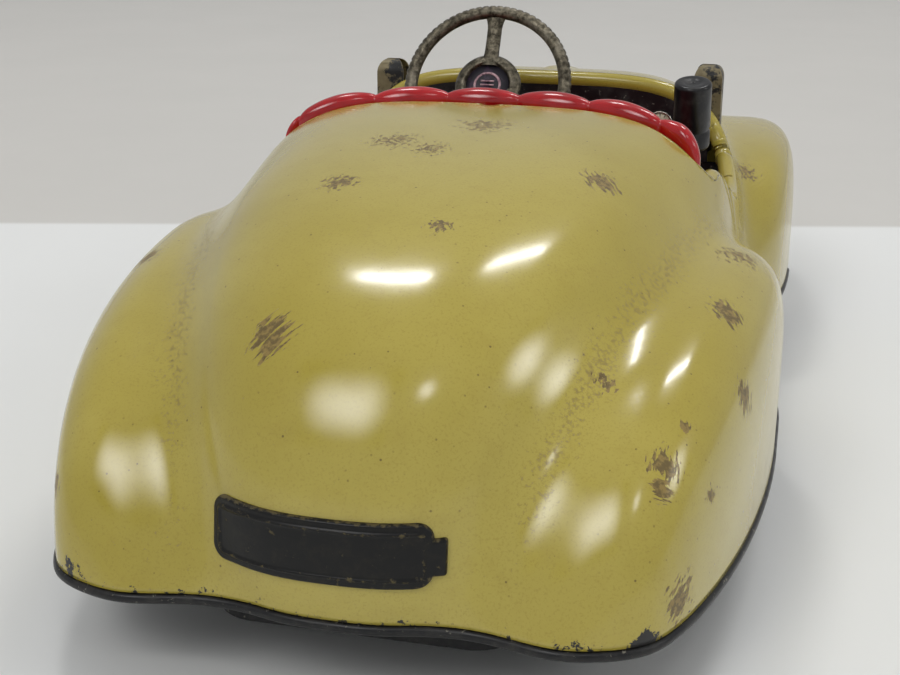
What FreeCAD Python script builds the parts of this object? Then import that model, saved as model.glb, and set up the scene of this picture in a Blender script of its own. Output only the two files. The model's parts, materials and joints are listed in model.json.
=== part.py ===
import FreeCAD, Part
import math
import os
import Sketcher
from FreeCAD import Placement, Rotation, Vector

# Friction-drive tin roadster, about 1:28, in millimetres.
# Frame: +Z up, nose along +Y, driver's right along +X, origin on the ground under the middle.
os.makedirs("parts", exist_ok=True)
doc = FreeCAD.newDocument("TinRoadster")

# ---------------------------------------------------------------- driving dimensions
DIMENSIONS = {
    # body form: a hump (tail, cockpit and hood) between four pontoon fenders
    "body_bottom": 8.3, "skin": 0.6, "seam_y": -14.0, "seam_gap": 0.25,
    "hump_peak_y": -15.5, "tail_length": 56.3, "nose_length": 87.15,
    "hump_half": 24.5, "tail_taper": 3.5, "nose_taper": 10.0,
    "hump_mid_z": 11.2, "hump_rise": 26.7, "hump_drop": 16.3,
    "hump_square": 4.2, "tail_square": 2.55, "hump_run": 2.65, "nose_dip": 0.45,
    "cabin_swell": 1.4, "swell_y": -36.0, "swell_run": 22.0,
    "rear_fender_x": 24.4, "rear_fender_toe": 4.0, "rear_fender_half": 9.85,
    "rear_fender_y": -32.5, "rear_fender_back": 37.8, "rear_fender_front": 21.0,
    "rear_fender_rise": 20.5, "rear_fender_square": 2.36, "rear_fender_run": 2.26,
    "front_fender_x": 22.5, "front_fender_toe": 2.0, "front_fender_half": 9.5,
    "front_fender_y": 41.0, "front_fender_back": 30.0, "front_fender_front": 30.5,
    "front_fender_rise": 18.4, "front_fender_square": 4.0, "front_fender_run": 2.5,
    "fender_mid_z": 7.6, "fender_drop": 17.0,
    "side_x": 31.4, "side_bow": 0.004, "side_rear_y": -30.0, "side_front_y": 34.0,
    "valley_blend": 2.8, "low_blend": 7.8, "crease_blend": 1.9,
    # cockpit opening
    "cockpit_back": -19.6, "cockpit_front": 13.4, "cockpit_half": 22.6, "cockpit_corner": 2.2,
    "cockpit_arc": 51.0, "cockpit_arc_y": -15.2, "door_dip_z": 27.4, "door_dip_y": -1.5, "door_dip_radius": 14.0,
    # running gear
    "wheel_radius": 11.0, "tyre_wide": 5.6, "wheel_x": 25.6, "hub_radius": 7.4,
    "rear_axle_y": -37.0, "front_axle_y": 47.0, "arch_radius": 12.6, "axle_radius": 1.0,
    "running_gap": 0.05,
    # base pan
    "base_gap": 0.12, "base_inset": 0.3, "plate_thick": 0.8, "pan_half": 13.0, "pan_back": -65.0, "pan_front": 28.0, "pan_bottom": 3.2,
    # drive
    "gear_module": 0.5, "axle_teeth": 24, "lay_teeth": 26, "pinion_teeth": 10,
    "lay_angle": 50.0, "flywheel_angle": 160.0, "lay_radius": 0.75,
    "flywheel_radius": 7.7, "flywheel_wide": 5.6,
    "motor_half": 8.4, "motor_plate": 0.8, "motor_back": -50.5, "motor_front": -22.5,
    "motor_top": 29.5,
    # steering
    "column_x": -4.5, "steer_y": 2.0, "steer_z": 36.7, "column_rise": 31.0, "column_radius": 1.0,
    "steer_radius": 9.1, "steer_rim": 0.75, "boss_radius": 3.9, "boss_disc": 2.65, "spoke_wide": 1.8,
    "steer_teeth": 9, "pinion_y": 39.0,
    "bracket_y": 31.0, "kingpin_x": 20.5, "kingpin_radius": 0.8, "arm_pin_x": 18.5,
    "arm_reach": 9.8, "link_low": 9.6,
    # cockpit furniture
    "tub_half": 22.1, "tub_back": -21.0, "tub_front": 14.6, "tub_bottom": 16.8, "tub_top": 26.4,
    "tub_wall": 0.7, "seat_half": 21.0, "seat_top": 39.05, "flute": 7.6, "flute_start": -20.4,
    "lever_x": 19.2, "lever_pivot_y": 6.6, "lever_pivot_z": 20.2, "lever_lean": 14.0,
    "knob_radius": 2.1, "knob_tall": 8.0, "knob_top": 18.4,
    "post_x": 20.0, "post_y": 16.6, "post_top": 38.0, "post_left_drop": 0.8, "post_wide": 3.4,
    # trim
    "badge_x": -1.0, "badge_half": 8.8, "badge_low": 11.5, "badge_high": 16.7,
    "grille_half": 7.0, "grille_low": 10.4, "grille_high": 28.0,
    "lamp_x": 14.6, "lamp_y": 65.0, "lamp_z": 21.0, "lamp_radius": 4.6,
}

sheet = doc.addObject("Spreadsheet::Sheet", "Dims")
for row, (name, value) in enumerate(DIMENSIONS.items(), start=1):
    sheet.set(f"A{row}", name)
    sheet.set(f"B{row}", str(value))
    sheet.setAlias(f"B{row}", name)
doc.recompute()


def dim(name):
    return float(sheet.get(name))


BODY_BOTTOM = dim("body_bottom")
BASE_TOP = BODY_BOTTOM - dim("base_gap")
WHEEL_Z = dim("wheel_radius")
X_AXIS = Vector(1, 0, 0)
Y_AXIS = Vector(0, 1, 0)
Z_AXIS = Vector(0, 0, 1)
# turns the XY plane of a profile so that it faces along +X (local x to Y, local y to Z)
FACE_X = Rotation(Vector(1, 1, 1), 120)
STEER_TURN = Rotation(X_AXIS, 90 - dim("column_rise"))
kept = []


# ---------------------------------------------------------------- small building helpers
def keep(obj, label):
    """Marks an object as a finished sub-part and gives it its file name."""
    obj.Label = label
    kept.append(obj)
    return obj


def computed(label, shape, place=None):
    """A sub-part whose shape is worked out with Part's own functions."""
    obj = doc.addObject("Part::Feature", label)
    obj.Shape = shape
    if place:
        obj.Placement = place
    return keep(obj, label)


def origin_plane(body, role):
    return next(o for o in body.Origin.OriginFeatures if o.Role == role)


def new_sketch(body, name, role):
    sketch = body.newObject("Sketcher::SketchObject", name)
    sketch.AttachmentSupport = (origin_plane(body, role), "")
    sketch.MapMode = "FlatFace"
    return sketch


def closed_lines(sketch, points):
    """Draws a closed outline of straight lines joined end to end."""
    first = sketch.GeometryCount
    count = len(points)
    for i, (x, y) in enumerate(points):
        nx, ny = points[(i + 1) % count]
        sketch.addGeometry(Part.LineSegment(Vector(x, y, 0), Vector(nx, ny, 0)))
    for i in range(count):
        sketch.addConstraint(Sketcher.Constraint("Coincident", first + i, 2, first + (i + 1) % count, 1))


def circle(sketch, x, y, radius):
    """Draws a circle whose radius is bound to the sheet; returns its index."""
    index = sketch.addGeometry(Part.Circle(Vector(x, y, 0), Z_AXIS, dim_value(radius)))
    number = sketch.addConstraint(Sketcher.Constraint("Radius", index, dim_value(radius)))
    sketch.setExpression(f"Constraints[{number}]", sheet_text(radius))
    return index


def dim_value(text):
    """The value of a sum of sheet names and numbers, such as 'axle_radius + running_gap'."""
    total = 0.0
    for word in text.split(" + "):
        total += dim(word) if word in DIMENSIONS else float(word)
    return total


def sheet_text(text):
    return " + ".join(f"Dims.{w}" if w in DIMENSIONS else w for w in text.split(" + "))


def pad(body, sketch, length, midplane=False, offset=0.0):
    feature = body.newObject("PartDesign::Pad", sketch.Name + "Pad")
    feature.Profile = sketch
    feature.setExpression("Length", sheet_text(length))
    feature.Midplane = midplane
    sketch.AttachmentOffset = Placement(Vector(0, 0, offset), Rotation())
    return feature


def revolve(body, sketch, axis_role="X_Axis"):
    feature = body.newObject("PartDesign::Revolution", sketch.Name + "Turn")
    feature.Profile = sketch
    feature.ReferenceAxis = (origin_plane(body, axis_role), [""])
    feature.Angle = 360
    return feature


def turned_body(label, outline, place):
    """A turned piece: an outline in (x along the axis, y out from it), revolved about X."""
    body = doc.addObject("PartDesign::Body", label)
    sketch = new_sketch(body, label + "_outline", "XY_Plane")
    closed_lines(sketch, outline)
    revolve(body, sketch)
    body.Placement = place
    return keep(body, label)


def rod(label, radius, length, base, direction):
    """A plain round shaft as a primitive bound to the sheet."""
    obj = doc.addObject("Part::Cylinder", label)
    obj.setExpression("Radius", sheet_text(radius))
    obj.Height = length
    obj.Placement = Placement(base, Rotation(Z_AXIS, direction))
    return obj


def box_shape(low, high):
    size = [high[i] - low[i] for i in range(3)]
    return Part.makeBox(*size, Vector(*low))


def fuse_all(shapes):
    return shapes[0].multiFuse(shapes[1:]).removeSplitter()


# ---------------------------------------------------------------- body form
def smooth_min(a, b, blend):
    mix = min(1.0, max(0.0, 0.5 + 0.5 * (b - a) / blend))
    return b * (1 - mix) + a * mix - blend * mix * (1 - mix)


def smooth_max(a, b, blend):
    return -smooth_min(-a, -b, blend)


def pod(x, y, z, half, mid_z, rise, drop, run_y, square, run):
    """A squared-off ellipsoid: below zero inside, about millimetres near its surface."""
    height = (z - mid_z) / (rise if z > mid_z else drop)
    section = (abs(x / half) ** square + abs(height) ** square + 1e-12) ** (run / square)
    return ((section + run_y ** run) ** (1 / run) - 1) * half


def hump_form(x, y, z):
    peak = dim_cache["hump_peak_y"]
    back = max(0.0, peak - y) / dim_cache["tail_length"]
    front = max(0.0, y - peak) / dim_cache["nose_length"]
    swell = min(1.0, max(0.0, (y - dim_cache["swell_y"]) / dim_cache["swell_run"]))
    half = dim_cache["hump_half"] + dim_cache["cabin_swell"] * swell * swell * (3 - 2 * swell)
    half -= dim_cache["tail_taper"] * back ** 2 + dim_cache["nose_taper"] * min(front, 1.2) ** 2.5
    square = dim_cache["hump_square"]
    square += (dim_cache["tail_square"] - square) * min(back, 1.0)
    run = dim_cache["hump_run"] - dim_cache["nose_dip"] * 4 * front * max(0.0, 1 - front)
    return pod(x, y, z, half, dim_cache["hump_mid_z"], dim_cache["hump_rise"],
               dim_cache["hump_drop"], back + front, square, run)


def fender_form(x, y, z, end):
    size = {key: dim_cache[f"{end}_fender_{key}"]
            for key in ("x", "toe", "half", "y", "back", "front", "rise", "square", "run")}
    back = max(0.0, size["y"] - y) / size["back"]
    front = max(0.0, y - size["y"]) / size["front"]
    toe_in = size["toe"] * (back if end == "rear" else front)
    return pod(abs(x) - size["x"] + toe_in, y, z, size["half"], dim_cache["fender_mid_z"],
               size["rise"], dim_cache["fender_drop"], back + front, size["square"], size["run"])


def side_form(x, y):
    beyond = max(0.0, dim_cache["side_rear_y"] - y) + max(0.0, y - dim_cache["side_front_y"])
    return abs(x) - dim_cache["side_x"] + dim_cache["side_bow"] * beyond ** 2


def body_form(x, y, z):
    """Signed form of the whole body: zero on its outer skin, negative inside."""
    low = min(1.0, max(0.0, (30.0 - z) / 22.0)) ** 2
    blend = dim_cache["valley_blend"] + (dim_cache["low_blend"] - dim_cache["valley_blend"]) * low
    form = smooth_min(hump_form(x, y, z), fender_form(x, y, z, "rear"), blend)
    form = smooth_min(form, fender_form(x, y, z, "front"), blend)
    return smooth_max(form, side_form(x, y), dim_cache["crease_blend"])


dim_cache = {name: dim(name) for name in DIMENSIONS}


def skin_point(turn, lift):
    """Where a ray from the seam's foot meets the skin; angles are those of an ellipsoid."""
    ray = Vector(31 * math.cos(turn) * math.cos(lift),
                 72 * math.sin(turn) * math.cos(lift), 31 * math.sin(lift))
    near, far = 0.1, 2.2
    for _ in range(40):
        middle = (near + far) / 2
        at = ray * middle
        if body_form(at.x, at.y + dim_cache["seam_y"], at.z + BODY_BOTTOM) < 0:
            near = middle
        else:
            far = middle
    return ray * near + Vector(0, dim_cache["seam_y"], BODY_BOTTOM)


def skin_normal(at, flat):
    step = 0.05
    slope = [body_form(*(at + axis * step)) - body_form(*(at - axis * step))
             for axis in (X_AXIS, Y_AXIS, Z_AXIS)]
    normal = Vector(slope[0], slope[1], 0 if flat else slope[2])
    return normal.normalize()


def skin_patch(turns, lifts, outer, inner):
    """A closed sheet that follows the skin between two offsets from it."""
    faces = []
    surfaces = []
    for offset in (outer, inner):
        grid = []
        for turn in turns:
            line = []
            for lift in lifts:
                at = skin_point(turn, lift)
                line.append(at + skin_normal(at, lift < 1e-6) * offset)
            grid.append(line)
        surface = Part.BSplineSurface()
        surface.interpolate(grid)
        surfaces.append(surface)
        faces.append(surface.toShape())
    u0, u1, v0, v1 = surfaces[0].bounds()
    p0, p1, q0, q1 = surfaces[1].bounds()
    borders = [(surfaces[0].uIso(u0), surfaces[1].uIso(p0)), (surfaces[0].uIso(u1), surfaces[1].uIso(p1)),
               (surfaces[0].vIso(v0), surfaces[1].vIso(q0)), (surfaces[0].vIso(v1), surfaces[1].vIso(q1))]
    for a, b in borders:
        faces.append(Part.makeRuledSurface(a.toShape(), b.toShape()))
    shell = Part.Shell(faces)
    shell.sewShape()
    solid = Part.Solid(shell)
    if solid.Volume < 0:
        solid.reverse()
    return solid


def spread(start, end, count):
    return [math.radians(start + (end - start) * i / (count - 1)) for i in range(count)]


def rounded_rectangle(x0, y0, x1, y1, radius):
    """A rounded rectangle as a closed wire in the XY plane."""
    lines = []
    corners = [(x1 - radius, y0 + radius, -90), (x1 - radius, y1 - radius, 0),
               (x0 + radius, y1 - radius, 90), (x0 + radius, y0 + radius, 180)]
    for i, (cx, cy, start) in enumerate(corners):
        arc = Part.makeCircle(radius, Vector(cx, cy, 0), Z_AXIS, start, start + 90)
        nx, ny, turn = corners[(i + 1) % 4]
        end = Vector(cx + radius * math.cos(math.radians(start + 90)),
                     cy + radius * math.sin(math.radians(start + 90)), 0)
        begin = Vector(nx + radius * math.cos(math.radians(turn)),
                       ny + radius * math.sin(math.radians(turn)), 0)
        lines += [arc, Part.makeLine(end, begin)]
    return Part.Wire(lines)


def back_arc(offset, height):
    """The bowed line of the cockpit's rear edge and of the seat behind it, as a drum."""
    radius = dim("cockpit_arc")
    return Part.makeCylinder(radius + offset, height, Vector(0, dim("cockpit_arc_y") - radius, 0))


def cockpit_cutter():
    """The opening: a rounded plan outline and the dip in the tops of the doors."""
    half = dim("cockpit_half")
    wire = rounded_rectangle(-half, dim("cockpit_back"), half, dim("cockpit_front"),
                             dim("cockpit_corner"))
    well = Part.Face(wire).extrude(Vector(0, 0, 25))
    well.translate(Vector(0, 0, dim("door_dip_z") - 1))
    well = well.cut(back_arc(0, 60))
    radius = dim("door_dip_radius")
    dip = Part.makeCylinder(radius, 70, Vector(-35, dim("door_dip_y"), dim("door_dip_z") + radius), X_AXIS)
    return well.fuse(dip)


def arch_cutters():
    """The front wheel arches; the rear fenders hide their wheels behind full skirts."""
    y = dim("front_axle_y")
    return [Part.makeCylinder(dim("arch_radius"), 12, Vector(x, y, WHEEL_Z), X_AXIS) for x in (22.0, -34.0)]


def nose_piece(outline, outer, inner):
    """A piece that lies on the nose: a skin patch inside an outline seen from the front."""
    patch = skin_patch(spread(68, 112, 23), spread(1, 62, 25), outer, inner)
    return patch.common(outline)


def front_prism(wire, start, length):
    """Extrudes a wire drawn as (x, z) along Y."""
    face = Part.Face(wire)
    face.rotate(Vector(0, 0, 0), X_AXIS, 90)
    prism = face.extrude(Vector(0, length, 0))
    prism.translate(Vector(0, start, 0))
    return prism


def lamp_outline(clearance):
    """The headlamp bowl's outline: along the axis from the back, and out from it."""
    radius = dim("lamp_radius") + clearance
    points = [(-9.0 - clearance, 0)]
    for i in range(1, 9):
        along = i / 8
        points.append((-9.0 - clearance + (9.0 + clearance) * along,
                       radius * math.sqrt(1 - (1 - along) ** 2)))
    return points


def lamp_place(side):
    return Placement(Vector(side * dim("lamp_x"), dim("lamp_y"), dim("lamp_z")), Rotation(Z_AXIS, 90))


def lamp_cutter(side):
    reach = 10
    points = [Vector(a, r, 0) for a, r in lamp_outline(0.12)]
    points += [Vector(reach, points[-1].y, 0), Vector(reach, 0, 0)]
    cutter = Part.Face(Part.makePolygon(points + points[:1])).revolve(Vector(0, 0, 0), X_AXIS, 360)
    cutter.Placement = lamp_place(side)
    return cutter


def post_cutter(side):
    gap = 0.15
    half = dim("post_wide") / 2 + gap
    x = side * dim("post_x")
    y = dim("post_y")
    return box_shape((x - half, y - half, 28), (x + half, y + half, 45))


def make_shells():
    opening = cockpit_cutter()
    gap = dim("seam_gap")
    slab = box_shape((-40, dim("seam_y") - gap / 2, 0), (40, dim("seam_y") + gap / 2, 60))
    lifts = spread(0, 87.4, 33)
    skins = {
        "rear_body_shell": skin_patch(spread(-180, 0, 73), lifts, 0, -dim("skin")),
        "front_body_shell": skin_patch(spread(0, 180, 73), lifts, 0, -dim("skin")),
    }
    grille_hole = front_prism(grille_wire(0.1), 45, 40)
    nose_cuts = [lamp_cutter(-1), lamp_cutter(1), post_cutter(-1), post_cutter(1), grille_hole]
    for label, skin in skins.items():
        cutters = [opening, slab] + arch_cutters()
        if label.startswith("front"):
            cutters += nose_cuts
        shape = skin
        for cutter in cutters:
            shape = shape.cut(cutter)
        solids = sorted(shape.Solids, key=lambda s: -s.Volume)
        computed(label, solids[0])


def grille_wire(clearance):
    """The radiator's outline: straight sides, a round top and a rounded foot."""
    half = dim("grille_half") + clearance
    return rounded_rectangle(-half, dim("grille_low") - clearance, half,
                             dim("grille_high") + clearance, half * 0.8)


def make_nose_trim():
    bar_count = 9
    rim = 1.1
    half = dim("grille_half")
    outer = front_prism(grille_wire(0), 40, 45)
    inside = front_prism(grille_wire(-rim), 39, 47)
    frame = nose_piece(outer.cut(inside), 0.9, -0.55)
    computed("radiator_surround", frame)
    pitch = 2 * (half - rim) / bar_count
    bars = []
    for i in range(bar_count):
        x = -half + rim + pitch * (i + 0.5)
        bars.append(box_shape((x - pitch * 0.27, 40, 0), (x + pitch * 0.27, 80, 50)))
    slots = fuse_all(bars).common(front_prism(grille_wire(-rim - 0.02), 40, 45))
    backing = nose_piece(front_prism(grille_wire(-rim - 0.02), 40, 45), -0.2, -0.55)
    bars = nose_piece(slots, 0.5, -0.2)
    computed("radiator_bars", fuse_all([backing, bars]))
    for side, word in ((-1, "left"), (1, "right")):
        bowl = [(a, r) for a, r in lamp_outline(0)] + [(0, dim("lamp_radius") - 0.6)]
        bowl += [(-0.9, dim("lamp_radius") - 0.6), (-0.9, 0)]
        turned_body(f"headlamp_{word}", bowl, lamp_place(side))
        radius = dim("lamp_radius") - 0.65
        lens = [(-0.88, 0), (0.7, 0), (0.5, radius * 0.5), (0.0, radius * 0.88), (-0.3, radius), (-0.88, radius)]
        turned_body(f"headlamp_lens_{word}", lens, lamp_place(side))


def make_badge_plate():
    """The blank black plate on the tail, curved to lie on the skin."""
    left = dim("badge_x") - dim("badge_half")
    right = dim("badge_x") + dim("badge_half")
    wire = rounded_rectangle(left, dim("badge_low"), right, dim("badge_high"), 1.2)
    patch = skin_patch(spread(-125, -55, 31), spread(4, 40, 19), 0.75, 0.05)
    middle = (dim("badge_low") + dim("badge_high")) / 2
    tab = rounded_rectangle(right - 1, middle - 1.3, right + 0.8, middle + 1.3, 0.2)
    outline = front_prism(wire, -80, 25).fuse(front_prism(tab, -80, 25))
    computed("rear_plate", patch.common(outline))


# ---------------------------------------------------------------- base pan
def plan_outline(offset):
    """The body's bottom edge as a smooth closed curve, moved out by an offset."""
    points = []
    for turn in spread(0, 360, 97)[:-1]:
        at = skin_point(turn, 0)
        points.append(at + skin_normal(at, True) * offset)
    curve = Part.BSplineCurve()
    curve.interpolate(points, PeriodicFlag=True)
    return Part.Wire(curve.toShape())


def make_base():
    thick = dim("plate_thick")
    plate = Part.Face(plan_outline(-dim("base_inset"))).extrude(Vector(0, 0, -thick))
    plate.translate(Vector(0, 0, BASE_TOP - BODY_BOTTOM))
    half = dim("pan_half")
    bottom = dim("pan_bottom")
    pan = Part.Face(rounded_rectangle(-half, dim("pan_back"), half, dim("pan_front"), 4))
    pan = pan.extrude(Vector(0, 0, BASE_TOP - bottom))
    pan.translate(Vector(0, 0, bottom))
    hollow = Part.Face(rounded_rectangle(-half + thick, dim("pan_back") + thick, half - thick,
                                         dim("pan_front") - thick, 4 - thick))
    hollow = hollow.extrude(Vector(0, 0, 20))
    hollow.translate(Vector(0, 0, bottom + thick))
    shape = plate.fuse(pan).cut(hollow)
    for y, inner, outer in ((dim("rear_axle_y"), 21.0, 29.6), (dim("front_axle_y"), 17.4, 40.0)):
        for side in (-1, 1):
            xs = sorted((side * inner, side * outer))
            reach = dim("arch_radius") + 0.6
            shape = shape.cut(box_shape((xs[0], y - reach, 0), (xs[1], y + reach, 20)))
    for x, y in screw_spots():
        shape = shape.cut(Part.makeCylinder(0.9, 5, Vector(x, y, 5)))
    computed("base_pan", shape.removeSplitter())
    screws = []
    for x, y in screw_spots():
        head = Part.makeCylinder(1.7, 0.9, Vector(x, y, BASE_TOP - thick - 0.9))
        slot = box_shape((x - 2, y - 0.2, 6), (x + 2, y + 0.2, BASE_TOP - thick - 0.5))
        shank = Part.makeCylinder(0.85, thick + 2.4, Vector(x, y, BASE_TOP - thick))
        nut = Part.makeCylinder(1.5, 1.0, Vector(x, y, BASE_TOP + 0.02))
        screws.append(head.cut(slot).fuse(shank).fuse(nut).removeSplitter())
    computed("base_screws", Part.makeCompound(screws))


def screw_spots():
    return [(x, y) for y in (-57.0, 22.0, 62.0) for x in (-16.5, 16.5)]


# ---------------------------------------------------------------- wheels
def tyre_outline():
    half = dim("tyre_wide") / 2
    outer = dim("wheel_radius")
    inner = dim("hub_radius")
    return [(-half + 0.5, inner), (half - 0.5, inner), (half, inner + 1.0), (half, outer - 1.6),
            (half - 0.5, outer - 0.5), (half - 1.5, outer), (-half + 1.5, outer),
            (-half + 0.5, outer - 0.5), (-half, outer - 1.6), (-half, inner + 1.0)]


def hub_outline(bore):
    half = dim("tyre_wide") / 2 - 0.5
    rim = dim("hub_radius")
    return [(-half, bore), (-half, 2.4), (half - 2.2, 2.6), (half - 2.2, rim - 1.2), (-half, rim - 1.2),
            (-half, rim), (half, rim), (half, rim - 0.6), (half - 1.2, rim - 1.2), (half - 1.2, 3.4),
            (half + 0.2, 2.6), (half + 0.6, bore)]


def make_wheels():
    for end, y in (("rear", dim("rear_axle_y")), ("front", dim("front_axle_y"))):
        bore = dim("axle_radius") + (0 if end == "rear" else dim("running_gap"))
        for side, word in ((-1, "left"), (1, "right")):
            place = Placement(Vector(side * dim("wheel_x"), y, WHEEL_Z), Rotation(Z_AXIS, 0 if side > 0 else 180))
            turned_body(f"{end}_tyre_{word}", tyre_outline(), place)
            turned_body(f"{end}_hub_{word}", hub_outline(bore), place)


# ---------------------------------------------------------------- gears
def gear_shape(teeth, width, bore, phase, addendum=0.88, backlash=0.09):
    """A spur gear about Z, a tooth's centre at the phase angle, with involute flanks."""
    module = dim("gear_module")
    pitch = module * teeth / 2
    base = pitch * math.cos(math.radians(20))
    tip = pitch + addendum * module
    root = pitch - 1.2 * module
    half_pitch = math.pi / (2 * teeth) - backlash / (2 * pitch)
    flat = math.tan(math.radians(20)) - math.radians(20)

    def half_angle(radius):
        if radius <= base:
            return half_pitch + flat
        press = math.acos(base / radius)
        return half_pitch + flat - (math.tan(press) - press)

    radii = [root] + [max(root, base) + (tip - max(root, base)) * i / 4 for i in range(5)]
    if root >= base:
        radii = radii[1:]
    points = []
    for tooth in range(teeth):
        centre = phase + 2 * math.pi * tooth / teeth
        for radius in radii:
            angle = centre - half_angle(radius)
            points.append(Vector(radius * math.cos(angle), radius * math.sin(angle), 0))
        for radius in reversed(radii):
            angle = centre + half_angle(radius)
            points.append(Vector(radius * math.cos(angle), radius * math.sin(angle), 0))
    blank = Part.Face(Part.makePolygon(points + points[:1])).extrude(Vector(0, 0, width))
    return blank.cut(Part.makeCylinder(bore, width + 2, Vector(0, 0, -1)))


def spaced(place, angle_name, teeth_sum):
    """The centre of a meshing gear, at the pair's centre distance and the given angle."""
    reach = dim("gear_module") * teeth_sum / 2 + 0.04
    angle = math.radians(dim(angle_name))
    return (place[0] + reach * math.cos(angle), place[1] + reach * math.sin(angle))


def make_drive():
    axle = (dim("rear_axle_y"), WHEEL_Z)
    lay = spaced(axle, "lay_angle", dim("axle_teeth") + dim("pinion_teeth"))
    fly = spaced(lay, "flywheel_angle", dim("lay_teeth") + dim("pinion_teeth"))
    tooth = {name: int(dim(name)) for name in ("axle_teeth", "lay_teeth", "pinion_teeth")}
    lay_angle = math.radians(dim("lay_angle"))
    fly_angle = math.radians(dim("flywheel_angle"))
    facing = math.pi / tooth["pinion_teeth"]
    axle_r = dim("axle_radius")
    lay_r = dim("lay_radius")
    gears = [
        ("axle_gear", tooth["axle_teeth"], 1.6, axle_r, lay_angle, 4.4, axle),
        ("lay_pinion", tooth["pinion_teeth"], 2.2, lay_r, lay_angle + math.pi + facing, 4.1, lay),
        ("lay_gear", tooth["lay_teeth"], 1.4, lay_r, fly_angle, -6.0, lay),
        ("flywheel_pinion", tooth["pinion_teeth"], 2.2, lay_r, fly_angle + math.pi + facing, -6.4, fly),
    ]
    for label, teeth, width, bore, phase, x, centre in gears:
        shape = gear_shape(teeth, width, bore, phase)
        computed(label, shape, Placement(Vector(x, *centre), FACE_X))
    half_axle = dim("wheel_x") + dim("tyre_wide") / 2 + 0.6
    keep(rod("rear_axle", "axle_radius", 2 * half_axle, Vector(-half_axle, *axle), X_AXIS), "rear_axle")
    half_lay = dim("motor_half") + 0.6
    for label, centre in (("lay_shaft", lay), ("flywheel_shaft", fly)):
        keep(rod(label, "lay_radius", 2 * half_lay, Vector(-half_lay, *centre), X_AXIS), label)
    half = dim("flywheel_wide") / 2
    big = dim("flywheel_radius")
    wheel = [(-half, lay_r), (-half, 2.4), (-half + 1.6, 2.6), (-half + 1.6, big - 2.4), (-half, big - 2.2),
             (-half, big - 0.3), (-half + 0.3, big), (half - 0.3, big), (half, big - 0.3),
             (half, big - 2.2), (half - 1.6, big - 2.4), (half - 1.6, 2.6), (half, 2.4), (half, lay_r)]
    turned_body("flywheel", wheel, Placement(Vector(0, *fly), Rotation()))
    make_motor_frame(axle, lay, fly)


def make_motor_frame(axle, lay, fly):
    """Two side plates on the pan's floor with bearing holes, and the pillars between them."""
    floor = dim("pan_bottom") + dim("plate_thick")
    back = dim("motor_back")
    front = dim("motor_front")
    top = dim("motor_top")
    outline = [(back, floor), (front, floor), (front, 21), (-27, top - 3), (-34, top), (-44, top),
               (back, top - 5)]
    pillars = [(back + 2.2, floor + 2.2), (front - 2.2, floor + 2.2), (-28.5, top - 3.6)]
    for side, word in ((-1, "left"), (1, "right")):
        label = f"motor_plate_{word}"
        body = doc.addObject("PartDesign::Body", label)
        sketch = new_sketch(body, label + "_outline", "XY_Plane")
        closed_lines(sketch, outline)
        circle(sketch, *axle, "axle_radius + running_gap")
        circle(sketch, *lay, "lay_radius + running_gap")
        circle(sketch, *fly, "lay_radius + running_gap")
        for y, z in pillars:
            circle(sketch, y, z, "0.8")
        pad(body, sketch, "motor_plate")
        x = dim("motor_half") - dim("motor_plate") if side > 0 else -dim("motor_half")
        body.Placement = Placement(Vector(x, 0, 0), FACE_X)
        keep(body, label)
    posts = []
    inner = dim("motor_half") - dim("motor_plate")
    for y, z in pillars:
        spacer = Part.makeCylinder(1.4, 2 * inner, Vector(-inner, y, z), X_AXIS)
        pin = Part.makeCylinder(0.8, 2 * inner + 3.2, Vector(-inner - 1.6, y, z), X_AXIS)
        posts.append(spacer.fuse(pin).removeSplitter())
    computed("motor_pillars", Part.makeCompound(posts))


# ---------------------------------------------------------------- steering
def steer_place(along=0.0):
    """The steering frame: local Z up the column towards the driver; along runs down it."""
    rise = math.radians(dim("column_rise"))
    down = Vector(0, math.cos(rise), -math.sin(rise))
    at = Vector(dim("column_x"), dim("steer_y"), dim("steer_z")) + down * along
    return Placement(at, STEER_TURN)


def column_run(y):
    """How far down the column lies a given Y."""
    return (y - dim("steer_y")) / math.cos(math.radians(dim("column_rise")))


def make_steering_wheel():
    radius = dim("steer_radius")
    rim = dim("steer_rim")
    ring = Part.makeTorus(radius, rim)
    pieces = [ring, Part.makeCylinder(dim("boss_radius"), 1.1, Vector(0, 0, -0.9))]
    half = dim("spoke_wide") / 2
    for turn in (90, 210, 330):
        spoke = box_shape((1.5, -half, -0.55), (radius, half, 0.15))
        spoke.rotate(Vector(0, 0, 0), Z_AXIS, turn)
        pieces.append(spoke)
    wheel = fuse_all(pieces)
    wheel = wheel.cut(Part.makeCylinder(dim("column_radius"), 4, Vector(0, 0, -4)))
    wheel = wheel.cut(Part.makeCylinder(dim("boss_disc"), 1, Vector(0, 0, -0.2)))
    computed("steering_wheel", wheel, steer_place())
    disc = Part.makeCylinder(dim("boss_disc") - 0.02, 0.42, Vector(0, 0, -0.2))
    computed("steering_boss_disc", disc, steer_place())


def make_steering():
    make_steering_wheel()
    run = column_run(dim("pinion_y"))
    length = run + 3.0
    column = rod("steering_column", "column_radius", length - 0.2, Vector(0, 0, 0), Z_AXIS)
    column.Placement = steer_place(length)
    keep(column, "steering_column")
    teeth = int(dim("steer_teeth"))
    wide = 4.0
    pinion = gear_shape(teeth, wide, dim("column_radius"), -math.pi / 2)
    computed("steering_pinion", pinion, steer_place(run + wide / 2))
    make_link(teeth, run)
    for side, word in ((-1, "left"), (1, "right")):
        make_knuckle(side, word)
    make_axle_beam()
    make_steering_bracket()


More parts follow.
